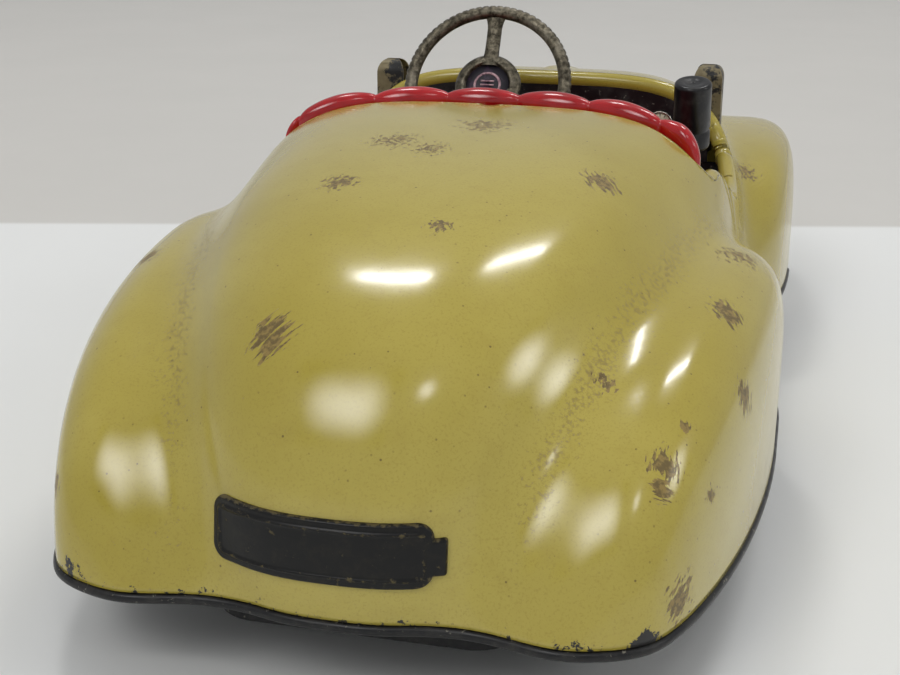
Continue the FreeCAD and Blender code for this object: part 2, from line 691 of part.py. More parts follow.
def rack_shape(teeth, count, wide):
    """A straight rack along X below a pinion at the local origin, a gap under its centre."""
    module = dim("gear_module")
    pitch_line = -module * teeth / 2 - 0.04
    tip = pitch_line + 0.85 * module
    root = pitch_line - 1.15 * module
    lean = math.tan(math.radians(20))
    step = math.pi * module
    half_tooth = step / 4 - 0.05
    points = [Vector(-step * count / 2 - 1, root - 2.2, 0), Vector(-step * count / 2 - 1, root, 0)]
    for i in range(count):
        centre = step * (i - (count - 1) / 2)
        for sign in (-1, 1):
            low = Vector(centre + sign * (half_tooth + (pitch_line - root) * lean), root, 0)
            high = Vector(centre + sign * (half_tooth - (tip - pitch_line) * lean), tip, 0)
            points += [low, high] if sign < 0 else [high, low]
    points += [Vector(step * count / 2 + 1, root, 0), Vector(step * count / 2 + 1, root - 2.2, 0)]
    rack = Part.Face(Part.makePolygon(points + points[:1])).extrude(Vector(0, 0, wide))
    rack.translate(Vector(0, 0, -wide / 2))
    return rack


def make_link(teeth, run):
    """The cross link: a flat bar with a slotted end for each arm's pin, and the rack on it."""
    low = dim("link_low")
    middle = dim("front_axle_y") - dim("arm_reach")
    end = dim("arm_pin_x") + 2.0
    bar = box_shape((-end, middle - 1.9, low), (end, middle + 2.4, low + 0.9))
    slot_half = dim("kingpin_radius") + 0.1
    for side in (-1, 1):
        x = side * dim("arm_pin_x")
        bar = bar.cut(box_shape((x - slot_half, middle - 1.1, 0), (x + slot_half, middle + 1.6, 20)))
    rack = rack_shape(teeth, 6, 4.0)
    rack.Placement = steer_place(run)
    computed("steering_link", bar.fuse(rack).removeSplitter())


def make_knuckle(side, word):
    y = dim("front_axle_y")
    x = dim("kingpin_x")
    pin_r = dim("kingpin_radius")
    block = box_shape((x - 1.6, y - 1.6, 9.6), (x + 1.6, y + 1.6, 13.4))
    kingpin = Part.makeCylinder(pin_r, 6.6, Vector(x, y, 8.4))
    stub_end = dim("wheel_x") + dim("tyre_wide") / 2 + 0.9
    stub = Part.makeCylinder(dim("axle_radius"), stub_end - x, Vector(x, y, WHEEL_Z), X_AXIS)
    collar = Part.makeCylinder(1.6, 1.0, Vector(x + 1.1, y, WHEEL_Z), X_AXIS)
    pin_x = dim("arm_pin_x")
    back = y - dim("arm_reach")
    arm = Part.makePolygon([Vector(x - 1, y, 0), Vector(x + 1, y, 0), Vector(pin_x + 1, back - 1, 0),
                            Vector(pin_x - 1, back - 1, 0), Vector(x - 1, y, 0)])
    arm = Part.Face(arm).extrude(Vector(0, 0, 1.0))
    arm.translate(Vector(0, 0, 11.2))
    pin = Part.makeCylinder(0.7, 2.6, Vector(pin_x, back, 9.2))
    knuckle = fuse_all([block, kingpin, stub, collar, arm, pin])
    cap = Part.makeCylinder(1.7, 0.5, Vector(stub_end - 0.5, y, WHEEL_Z), X_AXIS)
    cap = cap.cut(Part.makeCylinder(dim("axle_radius"), 2, Vector(stub_end - 1, y, WHEEL_Z), X_AXIS))
    if side < 0:
        knuckle = knuckle.mirror(Vector(0, 0, 0), X_AXIS)
        cap = cap.mirror(Vector(0, 0, 0), X_AXIS)
    computed(f"knuckle_{word}", knuckle)
    computed(f"axle_cap_{word}", cap)


def make_axle_beam():
    """A flat beam whose ends are forked round the knuckles."""
    y = dim("front_axle_y")
    end = dim("kingpin_x") + 1.5
    web = dim("kingpin_x") - 3.4
    low = BASE_TOP
    parts = [box_shape((-end, y - 1.7, low), (end, y + 1.7, low + 1.0))]
    for side in (-1, 1):
        xs = sorted((side * web, side * (web + 1.0)))
        parts.append(box_shape((xs[0], y - 1.7, low), (xs[1], y + 1.7, 14.6)))
        xs = sorted((side * web, side * end))
        parts.append(box_shape((xs[0], y - 1.7, 13.6), (xs[1], y + 1.7, 14.6)))
    beam = fuse_all(parts)
    for side in (-1, 1):
        hole = Part.makeCylinder(dim("kingpin_radius") + dim("running_gap"), 12,
                                 Vector(side * dim("kingpin_x"), y, 6))
        beam = beam.cut(hole)
    computed("front_axle_beam", beam)


def make_steering_bracket():
    x = dim("column_x")
    y = dim("bracket_y")
    height = dim("steer_z") - math.tan(math.radians(dim("column_rise"))) * (y - dim("steer_y"))
    upright = box_shape((x - 3, y - 0.7, BASE_TOP), (x + 3, y + 0.7, height + 2.6))
    foot = box_shape((x - 3, y - 0.7, BASE_TOP), (x + 3, y + 4, BASE_TOP + 0.8))
    bore = Part.makeCylinder(dim("column_radius") + dim("running_gap"), 12)
    bore.Placement = steer_place(column_run(y) + 6)
    computed("steering_bracket", upright.fuse(foot).cut(bore).removeSplitter())


# ---------------------------------------------------------------- cockpit
def make_tub():
    wall = dim("tub_wall")
    body = doc.addObject("PartDesign::Body", "cockpit_tub")
    sketch = new_sketch(body, "tub_outline", "XY_Plane")
    half = dim("tub_half")
    closed_lines(sketch, [(-half, dim("tub_back")), (half, dim("tub_back")),
                          (half, dim("tub_front")), (-half, dim("tub_front"))])
    feature = pad(body, sketch, "1", offset=dim("tub_bottom"))
    feature.setExpression("Length", "Dims.tub_top - Dims.tub_bottom")
    inner = new_sketch(body, "tub_inside", "XY_Plane")
    half -= wall
    closed_lines(inner, [(-half, dim("tub_back") + wall), (half, dim("tub_back") + wall),
                         (half, dim("tub_front") - wall), (-half, dim("tub_front") - wall)])
    inner.AttachmentOffset = Placement(Vector(0, 0, dim("tub_top")), Rotation())
    pocket = body.newObject("PartDesign::Pocket", "tub_hollow")
    pocket.Profile = inner
    pocket.setExpression("Length", "Dims.tub_top - Dims.tub_bottom - Dims.tub_wall")
    keep(body, "cockpit_tub")


def seat_top_z(x):
    """The arched top of the seat back, lower towards its ends."""
    return dim("seat_top") - 3.0 * (x / dim("seat_half")) ** 4


def make_seat():
    """A fluted bench: each flute ends in a scallop along the top of the back."""
    half = dim("seat_half")
    flute = dim("flute")
    floor = dim("tub_bottom") + dim("tub_wall")
    valleys = [-half] + [dim("flute_start") + flute * i for i in range(6)] + [half]
    notch = 0.7
    edges = []
    for left, right in zip(valleys, valleys[1:]):
        a = Vector(left, seat_top_z(left) - notch, 0)
        b = Vector(right, seat_top_z(right) - notch, 0)
        top = (a + b) / 2 + Vector(0, notch * min(1, (right - left) / flute), 0)
        edges.append(Part.Arc(a, top, b).toShape())
    right_foot = Vector(half, floor, 0)
    left_foot = Vector(-half, floor, 0)
    last = edges[-1].Vertexes[-1].Point
    first = edges[0].Vertexes[0].Point
    edges += [Part.makeLine(last, right_foot), Part.makeLine(right_foot, left_foot),
              Part.makeLine(left_foot, first)]
    back = Part.Face(Part.Wire(Part.__sortEdges__(edges)))
    back.rotate(Vector(0, 0, 0), X_AXIS, 90)
    back = back.extrude(Vector(0, 12, 0))
    back.translate(Vector(0, -22, 0))
    back = back.common(back_arc(2.9, 60).cut(back_arc(0.3, 60)))
    computed("seat_back", back)
    cushion = box_shape((-half + 1, -12.1, floor), (half - 1, -0.6, floor + 5.5))
    cushion = cushion.makeFillet(1.8, [e for e in cushion.Edges if e.BoundBox.ZMin > floor + 5])
    computed("seat_cushion", cushion)


def make_dashboard():
    low = dim("tub_top") + 0.1
    body = doc.addObject("PartDesign::Body", "dashboard")
    sketch = new_sketch(body, "dashboard_outline", "XZ_Plane")
    closed_lines(sketch, [(-20.5, low), (20.5, low), (20.5, 31.0), (18.0, 34.0), (12.0, 35.2),
                          (-12.0, 35.2), (-18.0, 34.0), (-20.5, 31.0)])
    pad(body, sketch, "0.8")
    sketch.AttachmentOffset = Placement(Vector(0, 0, -dim("tub_front") + 0.1), Rotation())
    bore = new_sketch(body, "column_hole", "XZ_Plane")
    height = dim("steer_z") - math.tan(math.radians(dim("column_rise"))) * (14.3 - dim("steer_y"))
    circle(bore, dim("column_x"), height, "column_radius + 1.1")
    pocket = body.newObject("PartDesign::Pocket", "column_pass")
    pocket.Profile = bore
    pocket.Type = "ThroughAll"
    pocket.Midplane = True
    keep(body, "dashboard")
    dials = []
    for x, radius in ((3.5, 2.3), (9.5, 2.3), (14.6, 1.6)):
        dials.append(Part.makeCylinder(radius, 0.45, Vector(x, dim("tub_front") - 0.9, 31.0), Vector(0, -1, 0)))
    computed("dashboard_dials", Part.makeCompound(dials))


def make_lever():
    """The hand lever on a cross pin, with its tall black knob leaning back."""
    pivot = Vector(dim("lever_x"), dim("lever_pivot_y"), dim("lever_pivot_z"))
    place = Placement(pivot, Rotation(X_AXIS, dim("lever_lean")))
    eye = Part.makeCylinder(1.7, 1.6, Vector(-0.8, 0, 0), X_AXIS)
    stick = Part.makeCylinder(0.9, dim("knob_top") - 2.0, Vector(0, 0, 0))
    bore = Part.makeCylinder(0.65, 6, Vector(-3, 0, 0), X_AXIS)
    computed("hand_lever", eye.fuse(stick).cut(bore).removeSplitter(), place)
    bottom = dim("knob_top") - dim("knob_tall")
    knob = Part.makeCylinder(dim("knob_radius"), dim("knob_tall"), Vector(0, 0, bottom))
    knob = knob.cut(Part.makeCylinder(0.9, dim("knob_tall") - 2, Vector(0, 0, bottom)))
    computed("lever_knob", knob, place)
    floor = dim("tub_bottom") + dim("tub_wall")
    ears = []
    reach = 1.45
    for x in (-reach, reach - 0.55):
        ears.append(box_shape((pivot.x + x, pivot.y - 2, floor), (pivot.x + x + 0.55, pivot.y + 2, pivot.z + 1.8)))
    foot = box_shape((pivot.x - reach, pivot.y - 2, floor), (pivot.x + reach, pivot.y + 2, floor + 0.6))
    bracket = fuse_all(ears + [foot])
    bracket = bracket.cut(Part.makeCylinder(0.6, 8, pivot - X_AXIS * 4, X_AXIS))
    computed("lever_bracket", bracket)
    computed("lever_pin", Part.makeCylinder(0.6, 2 * reach, pivot - X_AXIS * reach, X_AXIS))


def make_posts():
    """Windscreen side posts: channels open inwards with rounded tops."""
    half = dim("post_wide") / 2
    for side, word in ((-1, "left"), (1, "right")):
        low = 29.5
        top = dim("post_top") - (dim("post_left_drop") if side < 0 else 0)
        block = box_shape((-half, -half, low), (half, half, top - half))
        dome = Part.makeCylinder(half, 2 * half, Vector(-half, 0, top - half), X_AXIS)
        groove = box_shape((-half - 1, -half + 0.7, low + 4), (half - 0.7, half - 0.7, top + 1))
        post = block.fuse(dome).removeSplitter().cut(groove)
        turn = Rotation(Z_AXIS, 0 if side > 0 else 180)
        computed(f"windscreen_post_{word}", post, Placement(Vector(side * dim("post_x"), dim("post_y"), 0), turn))


# ---------------------------------------------------------------- build, check and write
def check_and_write():
    doc.recompute()
    for obj in doc.Objects:
        bad = [state for state in obj.State if state in ("Invalid", "Error")]
        if bad:
            raise RuntimeError(f"{obj.Label}: {bad}")
    for obj in kept:
        if obj.Shape.isNull() or not obj.Shape.isValid() or not obj.Shape.Solids:
            raise RuntimeError(f"{obj.Label}: no valid solid")
    for obj in kept:
        obj.Shape.exportStep(f"parts/{obj.Label}.step")
        box = obj.Shape.BoundBox
        print(f"{obj.Label:24s} solids {len(obj.Shape.Solids)}  volume {obj.Shape.Volume:9.1f}  "
              f"x {box.XMin:6.1f} {box.XMax:6.1f}  y {box.YMin:6.1f} {box.YMax:6.1f}  "
              f"z {box.ZMin:5.1f} {box.ZMax:5.1f}")
    print(len(kept), "sub-parts")


make_shells()
make_nose_trim()
make_badge_plate()
make_base()
make_wheels()
make_drive()
make_steering()
make_tub()
make_seat()
make_dashboard()
make_lever()
make_posts()
check_and_write()
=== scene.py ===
"""Looks for the tin roadster: pressed skins, fluted seat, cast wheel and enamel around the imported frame."""
import json
import math

import bpy
import numpy as np
from mathutils import Matrix, Vector


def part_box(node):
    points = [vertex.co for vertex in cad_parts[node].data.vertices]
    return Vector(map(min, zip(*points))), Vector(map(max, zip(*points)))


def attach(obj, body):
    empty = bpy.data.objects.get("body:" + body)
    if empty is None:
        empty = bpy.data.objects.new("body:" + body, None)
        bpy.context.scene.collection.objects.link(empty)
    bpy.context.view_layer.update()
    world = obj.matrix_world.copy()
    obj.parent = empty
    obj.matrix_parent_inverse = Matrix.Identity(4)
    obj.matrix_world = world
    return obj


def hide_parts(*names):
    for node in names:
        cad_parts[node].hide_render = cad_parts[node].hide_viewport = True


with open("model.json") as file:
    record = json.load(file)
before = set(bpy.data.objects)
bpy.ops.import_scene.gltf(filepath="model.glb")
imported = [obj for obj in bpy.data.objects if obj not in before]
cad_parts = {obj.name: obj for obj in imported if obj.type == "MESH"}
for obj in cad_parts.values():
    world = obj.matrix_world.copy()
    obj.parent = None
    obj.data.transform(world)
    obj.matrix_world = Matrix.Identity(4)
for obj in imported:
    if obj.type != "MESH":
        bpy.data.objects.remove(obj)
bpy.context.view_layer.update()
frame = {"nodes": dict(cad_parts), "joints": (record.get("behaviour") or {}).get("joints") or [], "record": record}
MM = 0.001

# ---------------------------------------------------------------- body form, in millimetres
# The same form as the frame's shells: a hump between four pontoon fenders.
FORM = dict(
    bottom=8.3, seam_y=-14.0, skin=0.5,
    peak_y=-15.5, tail=56.3, nose=87.15, hump_half=24.5, tail_taper=3.5, nose_taper=10.0,
    mid_z=11.2, rise=26.7, drop=16.3, square=4.2, tail_square=2.55, run=2.65, nose_dip=0.45,
    swell=1.4, swell_y=-36.0, swell_run=22.0,
    side_x=31.4, side_bow=0.004, side_rear_y=-30.0, side_front_y=34.0,
    valley_blend=2.8, low_blend=7.8, crease_blend=1.7,
)
REAR_FENDER = dict(x=24.4, toe=4.0, half=9.85, y=-32.5, back=37.8, front=21.0, rise=20.5,
                   square=2.36, run=2.26)
FRONT_FENDER = dict(x=22.5, toe=2.0, half=9.5, y=41.0, back=30.0, front=30.5, rise=18.4,
                    square=4.0, run=2.5)
FENDER_MID_Z = 7.6
FENDER_DROP = 17.0
OPENING = dict(back=-19.6, front=13.4, half=22.6, corner=2.2, arc=51.0, arc_y=-15.2,
               dip_z=27.4, dip_y=-1.5, dip_radius=14.0)
ARCH_RADIUS = 12.6
LIP = 0.95


def smooth_min(a, b, blend):
    mix = np.clip(0.5 + 0.5 * (b - a) / blend, 0, 1)
    return b * (1 - mix) + a * mix - blend * mix * (1 - mix)


def pod(x, z, half, mid_z, rise, drop, run_y, square, run):
    height = np.where(z > mid_z, (z - mid_z) / rise, (mid_z - z) / drop)
    section = (np.abs(x / half) ** square + np.abs(height) ** square + 1e-12) ** (run / square)
    return ((section + run_y ** run) ** (1 / run) - 1) * half


def hump_form(x, y, z):
    back = np.maximum(0, FORM["peak_y"] - y) / FORM["tail"]
    front = np.maximum(0, y - FORM["peak_y"]) / FORM["nose"]
    swell = np.clip((y - FORM["swell_y"]) / FORM["swell_run"], 0, 1)
    half = FORM["hump_half"] + FORM["swell"] * swell ** 2 * (3 - 2 * swell)
    half = half - FORM["tail_taper"] * back ** 2 - FORM["nose_taper"] * np.minimum(front, 1.2) ** 2.5
    square = FORM["square"] + (FORM["tail_square"] - FORM["square"]) * np.minimum(back, 1)
    run = FORM["run"] - FORM["nose_dip"] * 4 * front * np.maximum(0, 1 - front)
    return pod(x, z, half, FORM["mid_z"], FORM["rise"], FORM["drop"], back + front, square, run)


def fender_form(x, y, z, fender, toe_back):
    back = np.maximum(0, fender["y"] - y) / fender["back"]
    front = np.maximum(0, y - fender["y"]) / fender["front"]
    toe = fender["toe"] * (back if toe_back else front)
    return pod(np.abs(x) - fender["x"] + toe, z, fender["half"], FENDER_MID_Z, fender["rise"],
               FENDER_DROP, back + front, fender["square"], fender["run"])


def side_form(x, y):
    beyond = np.maximum(0, FORM["side_rear_y"] - y) + np.maximum(0, y - FORM["side_front_y"])
    return np.abs(x) - FORM["side_x"] + FORM["side_bow"] * beyond ** 2


def body_form(p):
    x, y, z = p[..., 0], p[..., 1], p[..., 2]
    low = np.clip((30 - z) / 22, 0, 1) ** 2
    blend = FORM["valley_blend"] + (FORM["low_blend"] - FORM["valley_blend"]) * low
    form = smooth_min(hump_form(x, y, z), fender_form(x, y, z, REAR_FENDER, True), blend)
    form = smooth_min(form, fender_form(x, y, z, FRONT_FENDER, False), blend)
    return -smooth_min(-form, -side_form(x, y), FORM["crease_blend"])


def form_normal(p, form=body_form):
    step = 0.04
    slope = np.stack([form(p + step * axis) - form(p - step * axis) for axis in np.eye(3)], -1)
    return slope / np.linalg.norm(slope, axis=-1, keepdims=True)


def skin_points(turn, lift):
    """Where rays from the seam's foot meet the skin; angles are those of an ellipsoid."""
    ray = np.stack([31 * np.cos(turn) * np.cos(lift), 72 * np.sin(turn) * np.cos(lift),
                    31 * np.sin(lift)], -1)
    foot = np.array([0, FORM["seam_y"], FORM["bottom"]])
    near = np.full(turn.shape, 0.1)
    far = np.full(turn.shape, 2.2)
    for _ in range(26):
        middle = (near + far) / 2
        inside = body_form(foot + ray * middle[..., None]) < 0
        near = np.where(inside, middle, near)
        far = np.where(inside, far, middle)
    return foot + ray * near[..., None]


# ---------------------------------------------------------------- outlines, positive where metal stays
def rounded_box(u, v, half_u, half_v, corner):
    du = np.abs(u) - half_u + corner
    dv = np.abs(v) - half_v + corner
    return np.hypot(np.maximum(du, 0), np.maximum(dv, 0)) + np.minimum(np.maximum(du, dv), 0) - corner


def opening_gap(p, grow=0.0):
    """How far outside the cockpit opening a point is; the opening may be grown."""
    middle = (OPENING["front"] + OPENING["back"]) / 2
    half_v = (OPENING["front"] - OPENING["back"]) / 2
    well = rounded_box(p[..., 0], p[..., 1] - middle, OPENING["half"], half_v, OPENING["corner"])
    well = -smooth_min(-well, -back_arc(p), 0.8)
    radius = OPENING["dip_radius"]
    dip = np.hypot(p[..., 1] - OPENING["dip_y"], p[..., 2] - OPENING["dip_z"] - radius) - radius
    return smooth_min(well, dip, 3.0) - grow


def back_arc(p):
    """How far behind the bowed rear edge of the cockpit a point is."""
    radius = OPENING["arc"]
    return radius - np.hypot(p[..., 0], p[..., 1] - OPENING["arc_y"] + radius)


def arch_gap(p, axle_y, side, grow=0.0):
    wheel_z = wheel_radius()
    ring = np.hypot(p[..., 1] - axle_y, p[..., 2] - wheel_z) - ARCH_RADIUS - grow
    return np.maximum(ring, 22.0 - side * p[..., 0])


def wheel_radius():
    low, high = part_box("rear_tyre_left")
    return (high.z - low.z) / 2 / MM


def middle_of(node):
    low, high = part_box(node)
    return (low + high) / 2 / MM


# ---------------------------------------------------------------- mesh helpers
def mesh_object(name, points, faces, smooth=True):
    """A mesh piece from points in millimetres."""
    mesh = bpy.data.meshes.new(name)
    mesh.from_pydata([tuple(p) for p in np.asarray(points, float) * MM], [], faces)
    mesh.validate()
    if smooth:
        mesh.polygons.foreach_set("use_smooth", [True] * len(mesh.polygons))
    mesh.update()
    obj = bpy.data.objects.new(name, mesh)
    bpy.context.scene.collection.objects.link(obj)
    return obj


def grid_faces(rows, columns, wrap_rows=False, wrap_columns=False, start=0):
    """Quads over a rows by columns grid of points, with optional wrap-round."""
    faces = []
    for i in range(rows if wrap_rows else rows - 1):
        for j in range(columns if wrap_columns else columns - 1):
            a = start + i * columns + j
            b = start + i * columns + (j + 1) % columns
            c = start + (i + 1) % rows * columns + (j + 1) % columns
            d = start + (i + 1) % rows * columns + j
            faces.append((a, b, c, d))
    return faces


def lathe(name, outline, place, segments=96, wobble=None):
    """Turns an outline of (radius, height) about local Z; a closed outline makes a solid."""
    turns = np.linspace(0, 2 * math.pi, segments, endpoint=False)
    outline = np.asarray(outline, float)
    radius = outline[None, :, 0] + (wobble(turns[:, None], outline[None, :, :]) if wobble else 0)
    radius = np.broadcast_to(radius, (segments, len(outline)))
    points = np.stack([radius * np.cos(turns)[:, None], radius * np.sin(turns)[:, None],
                       np.broadcast_to(outline[:, 1], radius.shape)], -1).reshape(-1, 3)
    obj = mesh_object(name, points, grid_faces(segments, len(outline), wrap_rows=True, wrap_columns=True))
    obj.data.transform(place)
    return obj


def arc_points(centre, radius, start, end, count):
    angles = np.radians(np.linspace(start, end, count))
    return [(centre[0] + radius * math.cos(a), centre[1] + radius * math.sin(a)) for a in angles]


def tube(name, path, radius, segments=12, closed=False, squash=1.0):
    """A round bead along a path of points, in millimetres."""
    path = np.asarray(path, float)
    count = len(path)
    if closed:
        tangent = np.roll(path, -1, 0) - np.roll(path, 1, 0)
    else:
        tangent = np.gradient(path, axis=0)
    tangent /= np.linalg.norm(tangent, axis=1, keepdims=True)
    side = np.cross(tangent, [0, 0, 1.0])
    flat = np.linalg.norm(side, axis=1) < 1e-6
    side[flat] = [1, 0, 0]
    side /= np.linalg.norm(side, axis=1, keepdims=True)
    up = np.cross(side, tangent)
    angles = np.linspace(0, 2 * math.pi, segments, endpoint=False)
    radii = np.broadcast_to(np.asarray(radius, float), (count,))
    ring = side[:, None] * np.cos(angles)[None, :, None]
    ring = ring + up[:, None] * np.sin(angles)[None, :, None] * squash
    points = (path[:, None] + ring * radii[:, None, None]).reshape(-1, 3)
    faces = grid_faces(count, segments, wrap_rows=closed, wrap_columns=True)
    if not closed:
        faces.append(tuple(range(segments - 1, -1, -1)))
        faces.append(tuple((count - 1) * segments + k for k in range(segments)))
    return mesh_object(name, points, faces)


def soften(obj, width, segments=3, angle=40):
    """Rounds a piece's hard edges with a bevel, in millimetres."""
    bevel = obj.modifiers.new("soften", "BEVEL")
    bevel.width = width * MM
    bevel.segments = segments
    bevel.limit_method = "ANGLE"
    bevel.angle_limit = math.radians(angle)
    bevel.harden_normals = False
    return obj


def apply_modifiers(obj):
    bpy.context.view_layer.update()
    graph = bpy.context.evaluated_depsgraph_get()
    mesh = bpy.data.meshes.new_from_object(obj.evaluated_get(graph))
    obj.modifiers.clear()
    obj.data = mesh
    return obj


def join(name, pieces):
    """Joins several pieces into one mesh."""
    points = []
    faces = []
    for piece in pieces:
        start = len(points)
        matrix = piece.matrix_world
        points += [matrix @ v.co for v in piece.data.vertices]
        faces += [tuple(start + i for i in f.vertices) for f in piece.data.polygons]
        mesh = piece.data
        bpy.data.objects.remove(piece)
        bpy.data.meshes.remove(mesh)
    return mesh_object(name, np.array([tuple(p) for p in points]) / MM, faces)


def box_piece(name, low, high):
    points = [(x, y, z) for x in (low[0], high[0]) for y in (low[1], high[1]) for z in (low[2], high[2])]
    faces = [(0, 1, 3, 2), (4, 6, 7, 5), (0, 4, 5, 1), (2, 3, 7, 6), (0, 2, 6, 4), (1, 5, 7, 3)]
    return mesh_object(name, points, faces, smooth=False)


def finish_piece(obj, body, slot, material, *nodes):
    """Gives a piece its material and hangs it on its body in place of CAD nodes; the slot is not used."""
    obj.data.materials.clear()
    obj.data.materials.append(material)
    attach(obj, body)
    if nodes:
        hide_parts(*nodes)
    return obj


# ---------------------------------------------------------------- pressed skins
def clip(points, faces, gap):
    """Cuts away the faces where gap is negative; returns the faces left and the cut edges."""
    values = gap(np.array(points))
    made = {}
    kept = []
    edges = []
    for face in faces:
        signs = [values[i] > 0 for i in face]
        if all(signs):
            kept.append(face)
            continue
        if not any(signs):
            continue
        outline = []
        crossings = []
        for k, a in enumerate(face):
            b = face[(k + 1) % len(face)]
            if values[a] > 0:
                outline.append(a)
            if (values[a] > 0) != (values[b] > 0):
                key = (min(a, b), max(a, b))
                if key not in made:
                    share = values[key[0]] / (values[key[0]] - values[key[1]])
                    made[key] = len(points)
                    points.append(points[key[0]] + (points[key[1]] - points[key[0]]) * share)
                outline.append(made[key])
                crossings.append(made[key])
        if len(outline) >= 3:
            kept.append(tuple(outline))
        if len(crossings) == 2:
            edges.append(tuple(crossings))
    return kept, edges


def chains(edges):
    """Joins loose edges into runs of points."""
    near = {}
    for a, b in edges:
        near.setdefault(a, []).append(b)
        near.setdefault(b, []).append(a)
    left = set(near)
    found = []
    while left:
        ends = [v for v in left if len(near[v]) == 1]
        at = min(ends) if ends else min(left)
        run = [at]
        left.discard(at)
        while True:
            ahead = [v for v in near[run[-1]] if v in left]
            if not ahead:
                break
            run.append(ahead[0])
            left.discard(ahead[0])
        found.append((run, not ends and run[0] in near[run[-1]]))
    return found


def roll_edge(points, faces, run, closed, inside, gap, radius, sweep):
    """Rolls the metal over along a cut edge, from the outer skin round to the inner one."""
    path = np.array([points[i] for i in run])
    normal = form_normal(path)
    reach = 3
    if closed:
        tangent = np.roll(path, -reach, 0) - np.roll(path, reach, 0)
    else:
        count = len(path)
        ahead = np.minimum(np.arange(count) + reach, count - 1)
        behind = np.maximum(np.arange(count) - reach, 0)
        tangent = path[ahead] - path[behind]
    tangent /= np.linalg.norm(tangent, axis=1, keepdims=True)
    inward = np.cross(normal, tangent)
    inward /= np.linalg.norm(inward, axis=1, keepdims=True)
    flip = np.sign(gap(path - inward * 0.3) - gap(path + inward * 0.3))
    inward *= flip[:, None]
    rows = [list(run)]
    for angle in np.radians(np.linspace(0, sweep, 11))[1:]:
        ring = path + inward * radius * math.sin(angle) - normal * radius * (1 - math.cos(angle))
        rows.append(list(range(len(points), len(points) + len(run))))
        points.extend(ring)
    rows.append([i + inside for i in run])
    order = 1 if np.median(flip) > 0 else -1
    count = len(run)
    for upper, lower in zip(rows, rows[1:]):
        for k in range(count if closed else count - 1):
            m = (k + 1) % count
            quad = (upper[k], upper[m], lower[m], lower[k])
            faces.append(quad if order < 0 else quad[::-1])


def emboss(p):
    """Pressed detail on the front: bonnet bead and door lines, along the normal."""
    x, y, z = p[:, 0], p[:, 1], p[:, 2]
    lift = np.zeros(len(p))
    bead = np.clip((y - 16) / 3, 0, 1) * np.clip((64 - y) / 3, 0, 1)
    lift += 0.35 * np.exp(-(x / 0.8) ** 2) * bead
    door = np.abs(rounded_box(y + 1.2, z - 22.0, 10.4, 10.4, 2.6))
    side = (np.abs(x) > 22) & (np.abs(y + 1.2) < 12) & (z > 11.2)
    lift -= 0.32 * np.exp(-(door / 0.32) ** 2) * side
    return lift


def pressed_skin(name, start, end, columns, rows, cuts, detail=None):
    """One body pressing, its openings cut and rolled, as a closed sheet of metal."""
    turn, lift = np.meshgrid(np.radians(np.linspace(start, end, columns)),
                             np.radians(np.linspace(0, 87.0, rows)), indexing="ij")
    surface = skin_points(turn, lift)
    gap_y = 0.13 if start >= 0 else -0.13
    for row in (0, -1):
        surface[row, :, 1] += gap_y
    flat = surface.reshape(-1, 3)
    if detail:
        flat = flat + form_normal(flat) * detail(flat)[:, None]
    points = list(flat)
    faces = [f[::-1] for f in grid_faces(columns, rows)]
    edge_runs = []
    for gap, radius, sweep in cuts:
        faces, edges = clip(points, faces, gap)
        for run, closed in chains(edges):
            if len(run) > 8:
                edge_runs.append((run, closed, gap, radius, sweep))
    used = sorted(set(i for f in faces for i in f))
    index = {old: new for new, old in enumerate(used)}
    points = [points[i] for i in used]
    faces = [tuple(index[i] for i in f) for f in faces]
    outer = np.array(points)
    normal = form_normal(outer)
    level = outer[:, 2] < FORM["bottom"] + 0.01
    normal[level, 2] = 0
    normal /= np.linalg.norm(normal, axis=1, keepdims=True)
    count = len(points)
    points += list(outer - normal * FORM["skin"])
    inner = [tuple(i + count for i in f[::-1]) for f in faces]
    rolled = set()
    extra = []
    for run, closed, gap, radius, sweep in edge_runs:
        run = [index[i] for i in run if i in index]
        pairs = list(zip(run, run[1:])) + ([(run[-1], run[0])] if closed else [])
        rolled |= {frozenset(p) for p in pairs}
        if radius:
            roll_edge(points, extra, run, closed, count, gap, radius, sweep)
        else:
            extra += [(a, b, b + count, a + count) for a, b in pairs]
    extra += [(b, a, a + count, b + count) for a, b in open_edges(faces) if frozenset((a, b)) not in rolled]
    return mesh_object(name, points, faces + inner + extra)


def open_edges(faces):
    """The edges that only one face uses, in that face's order."""
    seen = {}
    for face in faces:
        for k, a in enumerate(face):
            b = face[(k + 1) % len(face)]
            seen.setdefault(frozenset((a, b)), []).append((a, b))
    return [pairs[0] for pairs in seen.values() if len(pairs) == 1]


def closed_sheet(name, outer, inner, faces):
    """A sheet between two copies of the same faces, joined round the edge."""
    count = len(outer)
    back = [tuple(i + count for i in f[::-1]) for f in faces]
    rim = [(b, a, a + count, b + count) for a, b in open_edges(faces)]
    return mesh_object(name, np.concatenate([outer, inner]), faces + back + rim)


def lamp_gap(side):
    centre = middle_of("headlamp_left" if side < 0 else "headlamp_right")
    radius = (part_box("headlamp_left")[1].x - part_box("headlamp_left")[0].x) / 2 / MM

    def gap(p):
        across = np.hypot(p[..., 0] - centre.x, p[..., 2] - centre.z)
        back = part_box("headlamp_left")[0].y / MM
        depth = np.clip((p[..., 1] - back) / (9.0), 0, 1)
        bowl = radius * np.sqrt(1 - (1 - depth) ** 2)
        return np.where(p[..., 1] > back, across - bowl - 0.1, 5.0)
    return gap


def grille_gap(p):
    low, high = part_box("radiator_surround")
    half_x = (high.x - low.x) / 2 / MM
    half_z = (high.z - low.z) / 2 / MM
    inside = rounded_box(p[..., 0], p[..., 2] - (low.z + high.z) / 2 / MM, half_x, half_z, half_x * 0.8)
    return np.where(p[..., 1] > 40, inside + 0.1, 5.0)


